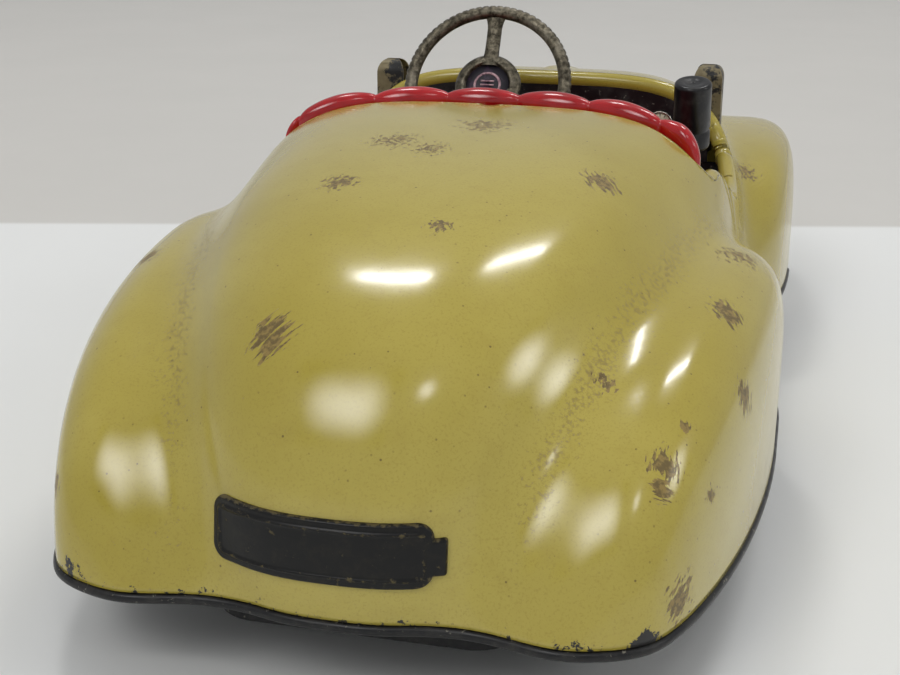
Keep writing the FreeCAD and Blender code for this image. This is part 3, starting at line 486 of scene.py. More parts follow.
def make_skins(enamel):
    def opening(p):
        return opening_gap(p, LIP)

    def arch(axle, side):
        y = middle_of(axle).y
        return lambda p: arch_gap(p, y, side, 0.0)
    rear_cuts = [(opening, LIP, 215)]
    front_cuts = [(opening, LIP, 215)]
    for side in (-1, 1):
        front_cuts.append((arch("front_tyre_left", side), 0.45, 180))
        front_cuts.append((lamp_gap(side), 0, 0))
    front_cuts.append((grille_gap, 0, 0))
    rear = pressed_skin("rear_pressing", -180, 0, 241, 121, rear_cuts)
    front = pressed_skin("front_pressing", 0, 180, 361, 121, front_cuts, emboss)
    for obj, node in ((rear, "rear_body_shell"), (front, "front_body_shell")):
        add_valley_shade_and_wear_masks(obj)
        finish_piece(obj, "body", "cream_enamel", enamel, node)


def add_valley_shade_and_wear_masks(obj):
    """Stores how deep each point lies in the valleys between hump and fenders, which the enamel darkens as painted
    shade, and how near it is to the bottom edge.
    """
    count = len(obj.data.vertices)
    co = np.zeros(count * 3)
    obj.data.vertices.foreach_get("co", co)
    p = co.reshape(-1, 3) / MM
    x, y, z = p[:, 0], p[:, 1], p[:, 2]
    fender = np.minimum(fender_form(x, y, z, REAR_FENDER, True), fender_form(x, y, z, FRONT_FENDER, False))
    apart = np.abs(hump_form(x, y, z) - fender)
    valley_shade = np.exp(-(apart / 1.6) ** 2) * np.clip((z - 10) / 12, 0, 1)
    edge = np.exp(-((z - FORM["bottom"]) / 0.8) ** 2)
    rim = np.exp(-(np.maximum(opening_gap(p, LIP), 0) / 0.9) ** 2)
    for name, values in (("valley_shade", valley_shade), ("edge", edge), ("rim", rim)):
        attribute = obj.data.attributes.new(name, "FLOAT", "POINT")
        attribute.data.foreach_set("value", values.astype(np.float32))


# ---------------------------------------------------------------- materials
class Paint:
    """Builds one node material; every helper returns an output socket."""

    def __init__(self, name):
        self.material = bpy.data.materials.new(name)
        self.material.use_nodes = True
        self.tree = self.material.node_tree
        self.shader = self.tree.nodes["Principled BSDF"]
        coordinates = self.tree.nodes.new("ShaderNodeTexCoord")
        self.place = self.scaled(coordinates.outputs["Object"], (1000, 1000, 1000))

    def node(self, kind, **inputs):
        node = self.tree.nodes.new(kind)
        for key, value in inputs.items():
            self.put(node.inputs[key.replace("_", " ")], value)
        return node

    def put(self, socket, value):
        if isinstance(value, bpy.types.NodeSocket):
            self.tree.links.new(value, socket)
        else:
            socket.default_value = value

    def scaled(self, vector, scale, turn=(0, 0, 0), shift=(0, 0, 0)):
        node = self.tree.nodes.new("ShaderNodeMapping")
        self.put(node.inputs["Vector"], vector)
        node.inputs["Scale"].default_value = scale
        node.inputs["Rotation"].default_value = turn
        node.inputs["Location"].default_value = shift
        return node.outputs["Vector"]

    def noise(self, scale, detail=4.0, rough=0.55, vector=None, stretch=(1, 1, 1)):
        vector = self.scaled(vector or self.place, stretch)
        node = self.node("ShaderNodeTexNoise", Vector=vector, Scale=scale, Detail=detail, Roughness=rough)
        return node.outputs["Fac"]

    def strokes(self, along, length=0.4, width=3.0):
        """Noise drawn out along a direction: length and width are its repeats per millimetre."""
        turn = Vector(along).rotation_difference(Vector((1, 0, 0))).to_euler()
        aligned = self.scaled(self.place, (1, 1, 1), turn)
        return self.noise(1.0, 3, 0.55, vector=aligned, stretch=(length, width, width))

    def cells(self, scale, vector=None):
        node = self.node("ShaderNodeTexVoronoi", Vector=vector or self.place, Scale=scale)
        return node.outputs["Distance"]

    def ramp(self, value, low, high, start=0.0, end=1.0):
        """A smooth step of a value from low to high."""
        node = self.tree.nodes.new("ShaderNodeMapRange")
        node.interpolation_type = "SMOOTHSTEP"
        for key, number in (("From Min", low), ("From Max", high), ("To Min", start), ("To Max", end)):
            node.inputs[key].default_value = number
        self.put(node.inputs["Value"], value)
        return node.outputs["Result"]

    def math(self, operation, a, b=0.0):
        node = self.tree.nodes.new("ShaderNodeMath")
        node.operation = operation
        self.put(node.inputs[0], a)
        self.put(node.inputs[1], b)
        return node.outputs[0]

    def blend(self, share, a, b):
        node = self.tree.nodes.new("ShaderNodeMix")
        node.data_type = "RGBA"
        self.put(node.inputs["Factor"], share)
        self.put(node.inputs[6], a)
        self.put(node.inputs[7], b)
        return node.outputs[2]

    def attribute(self, name):
        node = self.tree.nodes.new("ShaderNodeAttribute")
        node.attribute_name = name
        return node.outputs["Fac"]

    def near(self, spot, radius):
        """One at a spot, falling to nothing at the radius, in millimetres."""
        node = self.tree.nodes.new("ShaderNodeVectorMath")
        node.operation = "DISTANCE"
        self.put(node.inputs[0], self.place)
        node.inputs[1].default_value = spot
        return self.ramp(node.outputs["Value"], 0.0, radius, 1.0, 0.0)

    def bump(self, height, distance, strength=1.0):
        node = self.node("ShaderNodeBump", Height=height, Distance=distance * MM, Strength=strength)
        self.put(self.shader.inputs["Normal"], node.outputs["Normal"])

    def set(self, **values):
        for key, value in values.items():
            self.put(self.shader.inputs[key.replace("_", " ")], value)
        return self.material


def rgb(*values):
    return (*values, 1.0)


# Where the enamel is knocked through, in millimetres: place, reach, how heavily,
# and which way the strokes run.
SLASH, BACKSLASH, UPRIGHT = (0.62, 0.5, 0.6), (-0.5, 0.6, 0.62), (0.05, 0.62, 0.78)
CHIP_SPOTS = [
    ((-7.0, -45.6, 35.7), 2.6, 0.30, UPRIGHT), ((14.8, -38.2, 35.3), 2.9, 0.32, BACKSLASH),
    ((3.7, -52.3, 34.2), 2.0, 0.26, UPRIGHT), ((-6.6, -64.1, 27.9), 3.1, 0.36, SLASH),
    ((2.0, -27.3, 37.7), 4.4, 0.24, SLASH), ((-5.2, -34.5, 37.3), 4.0, 0.22, UPRIGHT),
    ((-1.3, -36.5, 37.1), 3.2, 0.22, UPRIGHT), ((18.3, -57.9, 24.1), 1.6, 0.26, UPRIGHT),
    ((23.7, -63.3, 20.1), 2.2, 0.36, UPRIGHT), ((23.5, -64.6, 18.6), 1.5, 0.40, (0.9, 0.2, -0.3)),
    ((26.7, -45.0, 26.4), 2.7, 0.36, BACKSLASH), ((28.8, -51.2, 21.5), 2.6, 0.34, UPRIGHT),
    ((26.7, -32.3, 27.8), 3.6, 0.24, BACKSLASH), ((30.3, -26.3, 24.3), 2.4, 0.34, BACKSLASH),
    ((25.5, -65.9, 10.5), 3.0, 0.30, SLASH), ((-24.6, -66.7, 14.5), 1.5, 0.42, UPRIGHT),
    ((-27.1, -42.9, 26.6), 2.6, 0.32, SLASH), ((24.7, -60.0, 21.9), 1.0, 0.28, UPRIGHT),
    ((27.0, -60.6, 16.7), 1.4, 0.26, BACKSLASH), ((-24.0, 36.0, 25.0), 3.0, 0.28, SLASH),
    ((12.0, 44.0, 32.0), 3.2, 0.28, SLASH), ((25.0, 22.0, 24.0), 3.0, 0.28, UPRIGHT),
    ((-14.0, 30.0, 34.5), 2.8, 0.26, BACKSLASH), ((-30.8, 4.0, 15.0), 2.6, 0.28, UPRIGHT),
]
# Bare black spots where the rolled bottom edge has rubbed through.
BARE_SPOTS = [((23.4, -69.2, 8.6), 2.1), ((-21.9, -70.0, 9.2), 1.6),
              ((18.5, -70.6, 8.4), 1.4), ((29.6, 60.0, 9.0), 1.8)]


def cream_enamel():
    paint = Paint("cream_enamel")
    broad = paint.noise(0.045, 3)
    mottled = paint.noise(0.35, 5, 0.65)
    colour = paint.blend(paint.ramp(broad, 0.35, 0.65), rgb(0.40, 0.32, 0.045), rgb(0.46, 0.375, 0.072))
    colour = paint.blend(paint.ramp(mottled, 0.45, 0.75, 0, 0.3), colour, rgb(0.37, 0.28, 0.04))
    grain = paint.noise(5.0, 2, 0.6)
    colour = paint.blend(paint.ramp(grain, 0.5, 0.72, 0, 0.3), colour, rgb(0.28, 0.2, 0.03))
    # Painted shade: dark brown speckle that thickens in the valleys between hump and fenders, mixed with random
    # dust that also roughens the enamel.
    valley_shade = paint.attribute("valley_shade")
    pepper = paint.noise(2.6, 4, 0.7)
    dust = paint.math("ADD", pepper, paint.math("MULTIPLY", valley_shade, 0.17))
    dust = paint.math("ADD", dust, paint.math("MULTIPLY", paint.noise(0.12, 3), 0.2))
    dust = paint.ramp(dust, 0.74, 0.88)
    colour = paint.blend(paint.math("MULTIPLY", dust, 0.55), colour, rgb(0.17, 0.11, 0.03))
    specks = paint.ramp(paint.cells(1.0), 0.07, 0.12, 1, 0)
    specks = paint.math("MULTIPLY", specks, paint.ramp(paint.noise(0.35, 4, 0.7), 0.45, 0.62))
    colour = paint.blend(paint.math("MULTIPLY", specks, 0.8), colour, rgb(0.11, 0.07, 0.02))
    marks = chip_marks(paint)
    depth = paint.ramp(paint.noise(2.2, 4), 0.42, 0.6)
    brown = paint.blend(depth, rgb(0.11, 0.068, 0.016), rgb(0.25, 0.165, 0.04))
    colour = paint.blend(paint.math("MULTIPLY", marks, 0.92), colour, brown)
    bare = bare_marks(paint)
    colour = paint.blend(bare, colour, rgb(0.012, 0.011, 0.01))
    hurt = paint.math("MAXIMUM", marks, bare)
    rough = paint.math("ADD", 0.17, paint.math("MULTIPLY", hurt, 0.4))
    rough = paint.math("ADD", rough, paint.math("MULTIPLY", dust, 0.15))
    rough = paint.math("ADD", rough, paint.math("MULTIPLY", paint.ramp(mottled, 0.4, 0.8), 0.06))
    relief = paint.math("SUBTRACT", paint.math("MULTIPLY", paint.noise(0.5, 2), 0.35), hurt)
    paint.bump(relief, 0.05, 0.5)
    return paint.set(Base_Color=colour, Roughness=rough, Coat_Weight=0.3, Coat_Roughness=0.12)


def chip_marks(paint):
    """Scratch clusters: strokes show only near the chip spots."""
    fields = {}
    marks = None
    for spot, reach, heavy, along in CHIP_SPOTS:
        if along not in fields:
            fields[along] = paint.strokes(along)
        near = paint.near(spot, reach)
        lifted = paint.math("ADD", fields[along], paint.math("MULTIPLY", near, heavy))
        mark = paint.math("MULTIPLY", paint.ramp(lifted, 0.66, 0.69), paint.ramp(near, 0.02, 0.12))
        marks = mark if marks is None else paint.math("MAXIMUM", marks, mark)
    return marks


def bare_marks(paint):
    rough_edge = paint.noise(1.3, 5, 0.7)
    edge = paint.math("ADD", paint.math("MULTIPLY", paint.attribute("edge"), 0.16), rough_edge)
    for spot, reach in BARE_SPOTS:
        near = paint.math("MULTIPLY", paint.near(spot, reach), 0.3)
        edge = paint.math("ADD", edge, near)
    return paint.ramp(edge, 0.72, 0.75)


def red_enamel():
    paint = Paint("red_enamel")
    broad = paint.noise(0.3, 4)
    colour = paint.blend(paint.ramp(broad, 0.35, 0.7), rgb(0.47, 0.004, 0.008), rgb(0.33, 0.003, 0.006))
    worn = paint.ramp(paint.noise(2.4, 5, 0.7), 0.66, 0.7)
    colour = paint.blend(paint.math("MULTIPLY", worn, 0.6), colour, rgb(0.12, 0.01, 0.008))
    rough = paint.ramp(paint.noise(0.8, 4), 0.3, 0.8, 0.12, 0.26)
    paint.bump(paint.noise(0.8, 3), 0.04, 0.5)
    return paint.set(Base_Color=colour, Roughness=rough, Coat_Weight=0.3, Coat_Roughness=0.08)


def black_enamel(name="black_enamel", worn_share=0.68, gloss=0.28):
    paint = Paint(name)
    dust = paint.ramp(paint.noise(0.7, 5, 0.65), 0.42, 0.8)
    colour = paint.blend(dust, rgb(0.008, 0.008, 0.009), rgb(0.035, 0.033, 0.03))
    worn = paint.ramp(paint.noise(1.6, 6, 0.72), worn_share, worn_share + 0.03)
    colour = paint.blend(worn, colour, rgb(0.2, 0.185, 0.15))
    rough = paint.math("ADD", gloss, paint.math("MULTIPLY", dust, 0.25))
    paint.bump(paint.math("SUBTRACT", paint.noise(1.2, 3), worn), 0.05, 0.5)
    return paint.set(Base_Color=colour, Roughness=rough, Specular_IOR_Level=0.35)


def worn_post():
    paint = Paint("black_worn_brass")
    patches = paint.ramp(paint.noise(0.45, 6, 0.68), 0.44, 0.52)
    tone = paint.blend(paint.noise(1.4, 4), rgb(0.12, 0.095, 0.045), rgb(0.24, 0.2, 0.11))
    colour = paint.blend(patches, rgb(0.012, 0.012, 0.012), tone)
    rough = paint.ramp(paint.noise(1.1, 4), 0.3, 0.7, 0.35, 0.6)
    paint.bump(patches, 0.04, 0.5)
    return paint.set(Base_Color=colour, Roughness=rough, Metallic=0.35)


def cast_pewter():
    paint = Paint("cast_pewter")
    grain = paint.noise(1.6, 6, 0.7)
    colour = paint.blend(paint.ramp(grain, 0.34, 0.68), rgb(0.035, 0.03, 0.02), rgb(0.2, 0.175, 0.125))
    rubbed = paint.ramp(paint.noise(0.5, 4), 0.5, 0.7)
    colour = paint.blend(paint.math("MULTIPLY", rubbed, 0.45), colour, rgb(0.3, 0.27, 0.21))
    rough = paint.ramp(grain, 0.3, 0.7, 0.5, 0.28)
    paint.bump(paint.noise(2.6, 5, 0.65), 0.12, 0.7)
    return paint.set(Base_Color=colour, Roughness=rough, Metallic=0.85)


def bare_steel(name="steel", tone=0.42, rough=0.36):
    paint = Paint(name)
    brushed = paint.noise(1.2, 4, stretch=(0.25, 3.0, 3.0))
    dirt = paint.ramp(paint.noise(0.6, 5, 0.7), 0.5, 0.75)
    bright = rgb(tone, tone * 0.98, tone * 0.93)
    colour = paint.blend(dirt, bright, rgb(tone * 0.4, tone * 0.34, tone * 0.26))
    shine = paint.math("ADD", rough - 0.08, paint.math("MULTIPLY", brushed, 0.22))
    paint.bump(brushed, 0.02, 0.4)
    return paint.set(Base_Color=colour, Roughness=shine, Metallic=1.0)


def brass():
    paint = Paint("brass_gears")
    tarnish = paint.ramp(paint.noise(0.7, 5, 0.7), 0.42, 0.72)
    colour = paint.blend(tarnish, rgb(0.62, 0.44, 0.16), rgb(0.24, 0.16, 0.06))
    rough = paint.ramp(paint.noise(1.8, 3), 0.3, 0.7, 0.25, 0.42)
    paint.bump(paint.noise(3, 3), 0.02, 0.4)
    return paint.set(Base_Color=colour, Roughness=rough, Metallic=1.0)


def nickel():
    paint = Paint("nickel")
    dull = paint.ramp(paint.noise(0.5, 6, 0.7), 0.4, 0.75)
    colour = paint.blend(dull, rgb(0.66, 0.64, 0.58), rgb(0.34, 0.3, 0.24))
    pits = paint.ramp(paint.cells(1.3), 0.06, 0.12, 1, 0)
    colour = paint.blend(paint.math("MULTIPLY", pits, 0.6), colour, rgb(0.12, 0.08, 0.05))
    rough = paint.ramp(paint.noise(0.9, 4), 0.35, 0.75, 0.16, 0.38)
    paint.bump(pits, 0.02, 0.4)
    return paint.set(Base_Color=colour, Roughness=rough, Metallic=1.0)


def rubber():
    paint = Paint("black_tyre")
    dust = paint.ramp(paint.noise(0.5, 6, 0.7), 0.4, 0.75)
    colour = paint.blend(dust, rgb(0.014, 0.014, 0.014), rgb(0.06, 0.056, 0.05))
    rough = paint.ramp(paint.noise(1.5, 4), 0.3, 0.7, 0.55, 0.75)
    paint.bump(paint.noise(3.0, 4), 0.05, 0.5)
    return paint.set(Base_Color=colour, Roughness=rough)


def milky_lens():
    paint = Paint("lens_glass")
    colour = paint.blend(paint.noise(0.6, 3), rgb(0.8, 0.79, 0.7), rgb(0.66, 0.62, 0.5))
    paint.bump(paint.noise(0.9, 2, stretch=(1.8, 1, 0.2)), 0.1, 0.5)
    return paint.set(Base_Color=colour, Roughness=0.12, Coat_Weight=0.8, Coat_Roughness=0.05)


def ivory():
    paint = Paint("ivory_dials")
    colour = paint.blend(paint.noise(0.8, 4), rgb(0.72, 0.66, 0.5), rgb(0.6, 0.52, 0.36))
    paint.bump(paint.noise(2.0, 2), 0.02, 0.3)
    return paint.set(Base_Color=colour, Roughness=0.35)


def iron():
    paint = Paint("flywheel_iron")
    rings = paint.noise(1.5, 5, 0.6)
    colour = paint.blend(paint.ramp(rings, 0.35, 0.7), rgb(0.09, 0.085, 0.08), rgb(0.2, 0.19, 0.18))
    paint.bump(rings, 0.04, 0.5)
    return paint.set(Base_Color=colour, Roughness=0.5, Metallic=0.9)


def boss_enamel():
    paint = Paint("boss_disc")
    motif = paint.ramp(paint.noise(0.9, 4, 0.6), 0.5, 0.56)
    colour = paint.blend(motif, rgb(0.012, 0.01, 0.016), rgb(0.035, 0.02, 0.04))
    paint.bump(paint.noise(2.5, 3), 0.03, 0.5)
    return paint.set(Base_Color=colour, Roughness=0.42, Specular_IOR_Level=0.25)


def boss_motif():
    paint = Paint("boss_motif")
    rubbed = paint.ramp(paint.noise(2.2, 5, 0.7), 0.42, 0.62)
    colour = paint.blend(rubbed, rgb(0.55, 0.36, 0.38), rgb(0.16, 0.07, 0.1))
    paint.bump(rubbed, 0.02, 0.4)
    return paint.set(Base_Color=colour, Roughness=0.4)


# ---------------------------------------------------------------- seat
FLUTE = 7.6
FLUTE_START = -20.4


def flute_wave(x):
    """0 in the valleys between flutes and 1 along their crowns."""
    return np.abs(np.sin(np.pi * (x - FLUTE_START) / FLUTE))


def bowed_y(x, offset):
    """The bowed line of the cockpit's rear edge, moved forward by an offset."""
    radius = OPENING["arc"]
    return OPENING["arc_y"] - radius + np.sqrt((radius + offset) ** 2 - x ** 2)


def capped_grid(name, rows, wrap=True):
    """A tube of equal rings with both ends closed."""
    points = np.array(rows)
    count = points.shape[1]
    faces = [f[::-1] for f in grid_faces(len(rows), count, wrap_columns=wrap)]
    faces.append(tuple(range(count)))
    faces.append(tuple(reversed(range((len(rows) - 1) * count, len(rows) * count))))
    return mesh_object(name, points.reshape(-1, 3), faces)


def make_seat(red):
    low, high = [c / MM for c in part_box("seat_back")]
    half = high.x + 0.9
    columns = half * np.sin(np.linspace(-math.pi / 2, math.pi / 2, 301))
    rise = np.linspace(0, 1, 26)
    rows = []
    for x in columns:
        crown = flute_wave(x) ** 0.6
        end = math.sqrt(max(0.0, 1 - (1 - min(1.0, (half - abs(x)) / 2.4)) ** 2))
        head = high.z - 3.0 * (x / half) ** 4 - 0.75 * (1 - crown) - 2.6 * (1 - end)
        thick = (0.55 + 0.8 * crown) * (0.12 + 0.88 * end)
        middle = bowed_y(x, 1.6) - 0.1
        foot = low.z + 0.05
        top = head - thick
        line = [(x, middle - thick, foot + (top - foot) * k) for k in rise]
        for angle in np.radians(np.linspace(180, 0, 13))[1:-1]:
            line.append((x, middle + thick * math.cos(angle), top + thick * math.sin(angle)))
        line += [(x, middle + thick, foot + (top - foot) * k) for k in rise[::-1]]
        rows.append(line)
    back = capped_grid("seat_back_fluted", rows)
    finish_piece(back, "body", "red_enamel", red, "seat_back")
    make_cushion(red)


def make_cushion(red):
    low, high = [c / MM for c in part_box("seat_cushion")]
    half = high.x
    rows = []
    for x in half * np.sin(np.linspace(-math.pi / 2, math.pi / 2, 241)):
        crown = flute_wave(x) ** 0.6
        end = math.sqrt(max(0.0, 1 - (1 - min(1.0, (half - abs(x)) / 1.6)) ** 2))
        line = [(x, low.y + 0.02, low.z + 0.05)]
        for k in np.linspace(0, 1, 41):
            front = math.sqrt(max(0.0, 1 - max(0.0, (k - 0.8) / 0.2) ** 2))
            tall = (high.z - low.z - 0.5 - 0.7 * (1 - crown)) * (0.25 + 0.75 * front) * (0.4 + 0.6 * end)
            line.append((x, low.y + (high.y - low.y) * (0.01 + 0.985 * k), low.z + 0.4 + tall))
        line.append((x, high.y - 0.02, low.z + 0.05))
        rows.append(line)
    finish_piece(capped_grid("seat_cushion_fluted", rows), "body", "red_enamel", red, "seat_cushion")


# ---------------------------------------------------------------- steering wheel
def joint_named(name):
    return next(j for j in frame["joints"] if j["name"] == name)


def steering_place():
    """Local Z along the column towards the driver, origin at the wheel's centre."""
    joint = joint_named("steering_wheel_turn")
    normal = Vector(joint["axis"])
    across = Vector((1, 0, 0))
    up = normal.cross(across)
    turn = Matrix((across, up, normal)).transposed().to_4x4()
    return Matrix.Translation(Vector(joint["pos_m"])) @ turn


def make_steering_wheel(pewter, disc, motif):
    place = steering_place()
    radius, rim = 9.1, 0.76
    segments = 288
    turns = np.linspace(0, 2 * math.pi, segments, endpoint=False)
    around = np.linspace(0, 2 * math.pi, 20, endpoint=False)
    grips = np.clip(np.cos(turns * 72), 0, 1) ** 0.7
    points = []
    for turn, grip in zip(turns, grips):
        for angle in around:
            outward = math.cos(angle)
            size = rim * (1 - 0.16 * grip * max(0.0, 0.35 + outward * 0.65))
            reach = radius + size * outward
            points.append((reach * math.cos(turn), reach * math.sin(turn), size * 0.95 * math.sin(angle)))
    ring = mesh_object("ring", points, grid_faces(segments, 20, wrap_rows=True, wrap_columns=True))
    pieces = [ring]
    for turn in (90, 210, 330):
        pieces.append(make_spoke(math.radians(turn), radius))
    hub = [(0.9, -1.6), (2.6, -1.55), (3.5, -1.2), (3.9, -0.65), (3.88, -0.35), (3.6, -0.05), (3.15, 0.18),
           (2.9, 0.26), (2.75, 0.22), (2.66, 0.08), (2.63, -0.15), (0.9, -0.2)]
    pieces.append(lathe("hub", hub, Matrix.Identity(4), 72))
    wheel = join("steering_wheel_cast", pieces)
    wheel.data.transform(place)
    finish_piece(wheel, "steering", "cast_pewter", pewter, "steering_wheel")
    face = [(0.001, 0.06), (0.9, 0.05), (1.8, 0.01), (2.5, -0.08), (2.61, -0.18), (0.001, -0.22)]
    face = lathe("steering_boss_face", face, place, 64)
    finish_piece(face, "steering", "boss_disc", disc, "steering_boss_disc")
    crest = [(1.32, 0.0), (1.4, 0.1), (1.56, 0.1), (1.64, 0.0), (1.6, -0.04), (1.35, -0.04)]
    parts = [lathe("crest_ring", crest, Matrix.Identity(4), 48)]
    for k in range(3):
        bar = box_piece("bar", (-0.8, -0.55 + 0.47 * k, -0.03), (0.8, -0.38 + 0.47 * k, 0.11))
        parts.append(bar)
    crest = join("steering_boss_motif", parts)
    crest.data.transform(place)
    finish_piece(crest, "steering", "boss_disc", motif)


def make_spoke(turn, radius):
    """A tapering, slightly bowed spoke with a rounded section."""
    stations = np.linspace(2.4, radius - 0.2, 21)
    angles = np.linspace(0, 2 * math.pi, 14, endpoint=False)
    points = []
    for reach in stations:
        share = (reach - 2.4) / (radius - 2.6)
        flare = 0.55 * max(0.0, (share - 0.7) / 0.3) ** 2 + 0.3 * max(0.0, (0.35 - share) / 0.35) ** 2
        wide = 0.86 + flare
        tall = 0.5 - 0.08 * share
        sink = -0.15 - 0.25 * math.sin(math.pi * share)
        for angle in angles:
            across = wide * math.copysign(abs(math.cos(angle)) ** 0.8, math.cos(angle))
            local = (reach, across, sink + tall * math.sin(angle))
            points.append((local[0] * math.cos(turn) - local[1] * math.sin(turn),
                           local[0] * math.sin(turn) + local[1] * math.cos(turn), local[2]))
    return mesh_object("spoke", points, grid_faces(len(stations), len(angles), wrap_columns=True))


# ---------------------------------------------------------------- cockpit pieces
def make_knob(black):
    joint = joint_named("hand_lever_swing")
    low, high = [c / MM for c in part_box("lever_knob")]
    pivot = Vector(joint["pos_m"]) / MM
    lean = math.radians(14.0)
    place = Matrix.Translation(pivot * MM) @ Matrix.Rotation(lean, 4, "X")
    radius = (high.x - low.x) / 2
    top, bottom = 18.4, 10.4
    outline = [(0.95, bottom), (radius - 0.5, bottom)]
    outline += arc_points((radius - 0.5, bottom + 0.5), 0.5, -90, 0, 5)
    outline += [(radius, bottom + 2.0), (radius - 0.14, bottom + 2.25), (radius - 0.14, bottom + 2.45),
                (radius, bottom + 2.7), (radius, top - 0.5)]
    outline += arc_points((radius - 0.42, top - 0.42), 0.42, 0, 90, 6)
    outline += [(radius - 1.0, top), (radius - 1.25, top - 0.12), (0.5, top - 0.16), (0.001, top - 0.16),
                (0.001, bottom + 1.5), (0.95, bottom + 1.5)]
    knob = lathe("lever_knob_turned", outline, place, 96)
    finish_piece(knob, "hand_lever", "black_enamel", black, "lever_knob")


def make_posts(worn):
    """Folded channels open inwards, with a rounded top and softened edges."""
    for side, word in ((-1, "left"), (1, "right")):
        low, high = [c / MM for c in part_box(f"windscreen_post_{word}")]
        half = (high.x - low.x) / 2
        centre = (low + high) / 2
        wall = 0.45
        outline = []
        for x, y in ((-half, -half), (half, -half), (half, half), (-half, half)):
            outline.append((x, y))
        outline += [(-half, half - wall), (half - wall, half - wall),
                    (half - wall, -half + wall), (-half, -half + wall)]
        levels = np.linspace(low.z, high.z - 0.02, 40)
        points = []
        for z in levels:
            drop = max(0.0, z - (high.z - half))
            squeeze = math.sqrt(max(0.02, 1 - (drop / half) ** 2))
            for x, y in outline:
                points.append((centre.x + side * x * (0.35 + 0.65 * squeeze), centre.y + y * squeeze, z))
        count = len(outline)
        faces = grid_faces(len(levels), count, wrap_columns=True)
        faces.append(tuple(range(count))[::-1])
        faces.append(tuple((len(levels) - 1) * count + k for k in range(count)))
        post = mesh_object(f"windscreen_channel_{word}", points, faces, smooth=False)
        soften(post, 0.16, 2)
        apply_modifiers(post)
        finish_piece(post, "body", "black_worn_brass", worn, f"windscreen_post_{word}")


def make_dials(ivory_paint, nickel_paint, black):
    low, high = [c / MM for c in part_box("dashboard_dials")]
    height = (low.z + high.z) / 2
    face_turn = Matrix.Rotation(math.radians(90), 4, "X")
    spots = [(3.5, 2.3), (9.5, 2.3), (14.6, 1.6)]
    faces, rims, ticks = [], [], []
    for x, radius in spots:
        place = Matrix.Translation(Vector((x, high.y - 0.05, height)) * MM) @ face_turn
        disc = [(0.001, 0.3), (radius * 0.86, 0.3), (radius * 0.86, 0), (0.001, 0)]
        faces.append(lathe("face", disc, place, 48))
        rim = [(radius * 0.84, 0), (radius * 0.84, 0.36)]
        rim += arc_points((radius * 0.92, 0.36), radius * 0.08, 180, 0, 7)
        rims.append(lathe("rim", rim + [(radius, 0)], place, 64))
        for k in range(9):
            angle = math.radians(-120 + 30 * k)
            tick = box_piece("tick", (-0.05, radius * 0.6, 0.3), (0.05, radius * 0.8, 0.34))
            tick.data.transform(place @ Matrix.Rotation(angle, 4, "Z"))
            ticks.append(tick)
        hand = box_piece("hand", (-0.08, -0.3, 0.3), (0.08, radius * 0.62, 0.4))
        hand.data.transform(place @ Matrix.Rotation(math.radians(-50), 4, "Z"))
        ticks.append(hand)
    finish_piece(join("dial_faces", faces), "body", "ivory_dials", ivory_paint, "dashboard_dials")
    finish_piece(join("dial_rims", rims), "body", "nickel", nickel_paint)
    finish_piece(join("dial_ticks", ticks), "body", "black_enamel", black)


# ---------------------------------------------------------------- tail plate, base edge and wheels
PLATE = dict(middle=-1.0, half=8.8, low=11.5, high=16.7, corner=1.3, thick=0.42)


def plate_depth(x, z):
    """How far inside the plate's outline a point is; a small tab stands out at the right."""
    middle = (PLATE["low"] + PLATE["high"]) / 2
    x = x - PLATE["middle"]
    panel = rounded_box(x, z - middle, PLATE["half"], (PLATE["high"] - PLATE["low"]) / 2, PLATE["corner"])
    tab = rounded_box(x - PLATE["half"] + 0.2, z - middle + 0.2, 1.1, 1.5, 0.25)
    return -np.minimum(panel, tab), -panel


def tail_y(x, z):
    """Where the tail's skin is, looking along the car from behind."""
    near = np.full(x.shape, -80.0)
    far = np.full(x.shape, -45.0)
    for _ in range(26):
        middle = (near + far) / 2
        inside = body_form(np.stack([x, middle, z], -1)) < 0
        far = np.where(inside, middle, far)
        near = np.where(inside, near, middle)
    return far


def make_rear_plate(black):
    left, right = PLATE["middle"] - PLATE["half"], PLATE["middle"] + PLATE["half"]
    x, z = np.meshgrid(np.linspace(left - 0.1, right + 1.2, 181),
                       np.linspace(PLATE["low"] - 0.1, PLATE["high"] + 0.1, 73), indexing="ij")
    flat = np.stack([x, tail_y(x, z), z], -1).reshape(-1, 3)
    points = list(flat)
    faces, _ = clip(points, grid_faces(*x.shape), lambda p: plate_depth(p[..., 0], p[..., 2])[0])
    used = sorted(set(i for f in faces for i in f))
    index = {old: new for new, old in enumerate(used)}
    faces = [tuple(index[i] for i in f) for f in faces]
    skin = np.array([points[i] for i in used])
    depth, panel = plate_depth(skin[:, 0], skin[:, 2])
    dome = np.sqrt(np.clip(1 - (1 - np.minimum(depth / 0.28, 1)) ** 2, 0, 1))
    ridge = 0.13 * np.exp(-((panel - 0.78) / 0.13) ** 2)
    normal = form_normal(skin)
    lift = -0.02 + (PLATE["thick"] + ridge) * dome
    plate = closed_sheet("rear_plate_pressed", skin + normal * lift[:, None], skin - normal * 0.12, faces)
    # This value peaks along the plate's edge and raised border, where the black is lightened as a painted edge
    # highlight.
    worn = np.concatenate([np.exp(-(depth / 0.2) ** 2) + 0.6 * np.exp(-((panel - 0.78) / 0.16) ** 2)] * 2)
    attribute = plate.data.attributes.new("worn", "FLOAT", "POINT")
    attribute.data.foreach_set("value", worn.astype(np.float32))
    finish_piece(plate, "body", "black_enamel", black, "rear_plate")


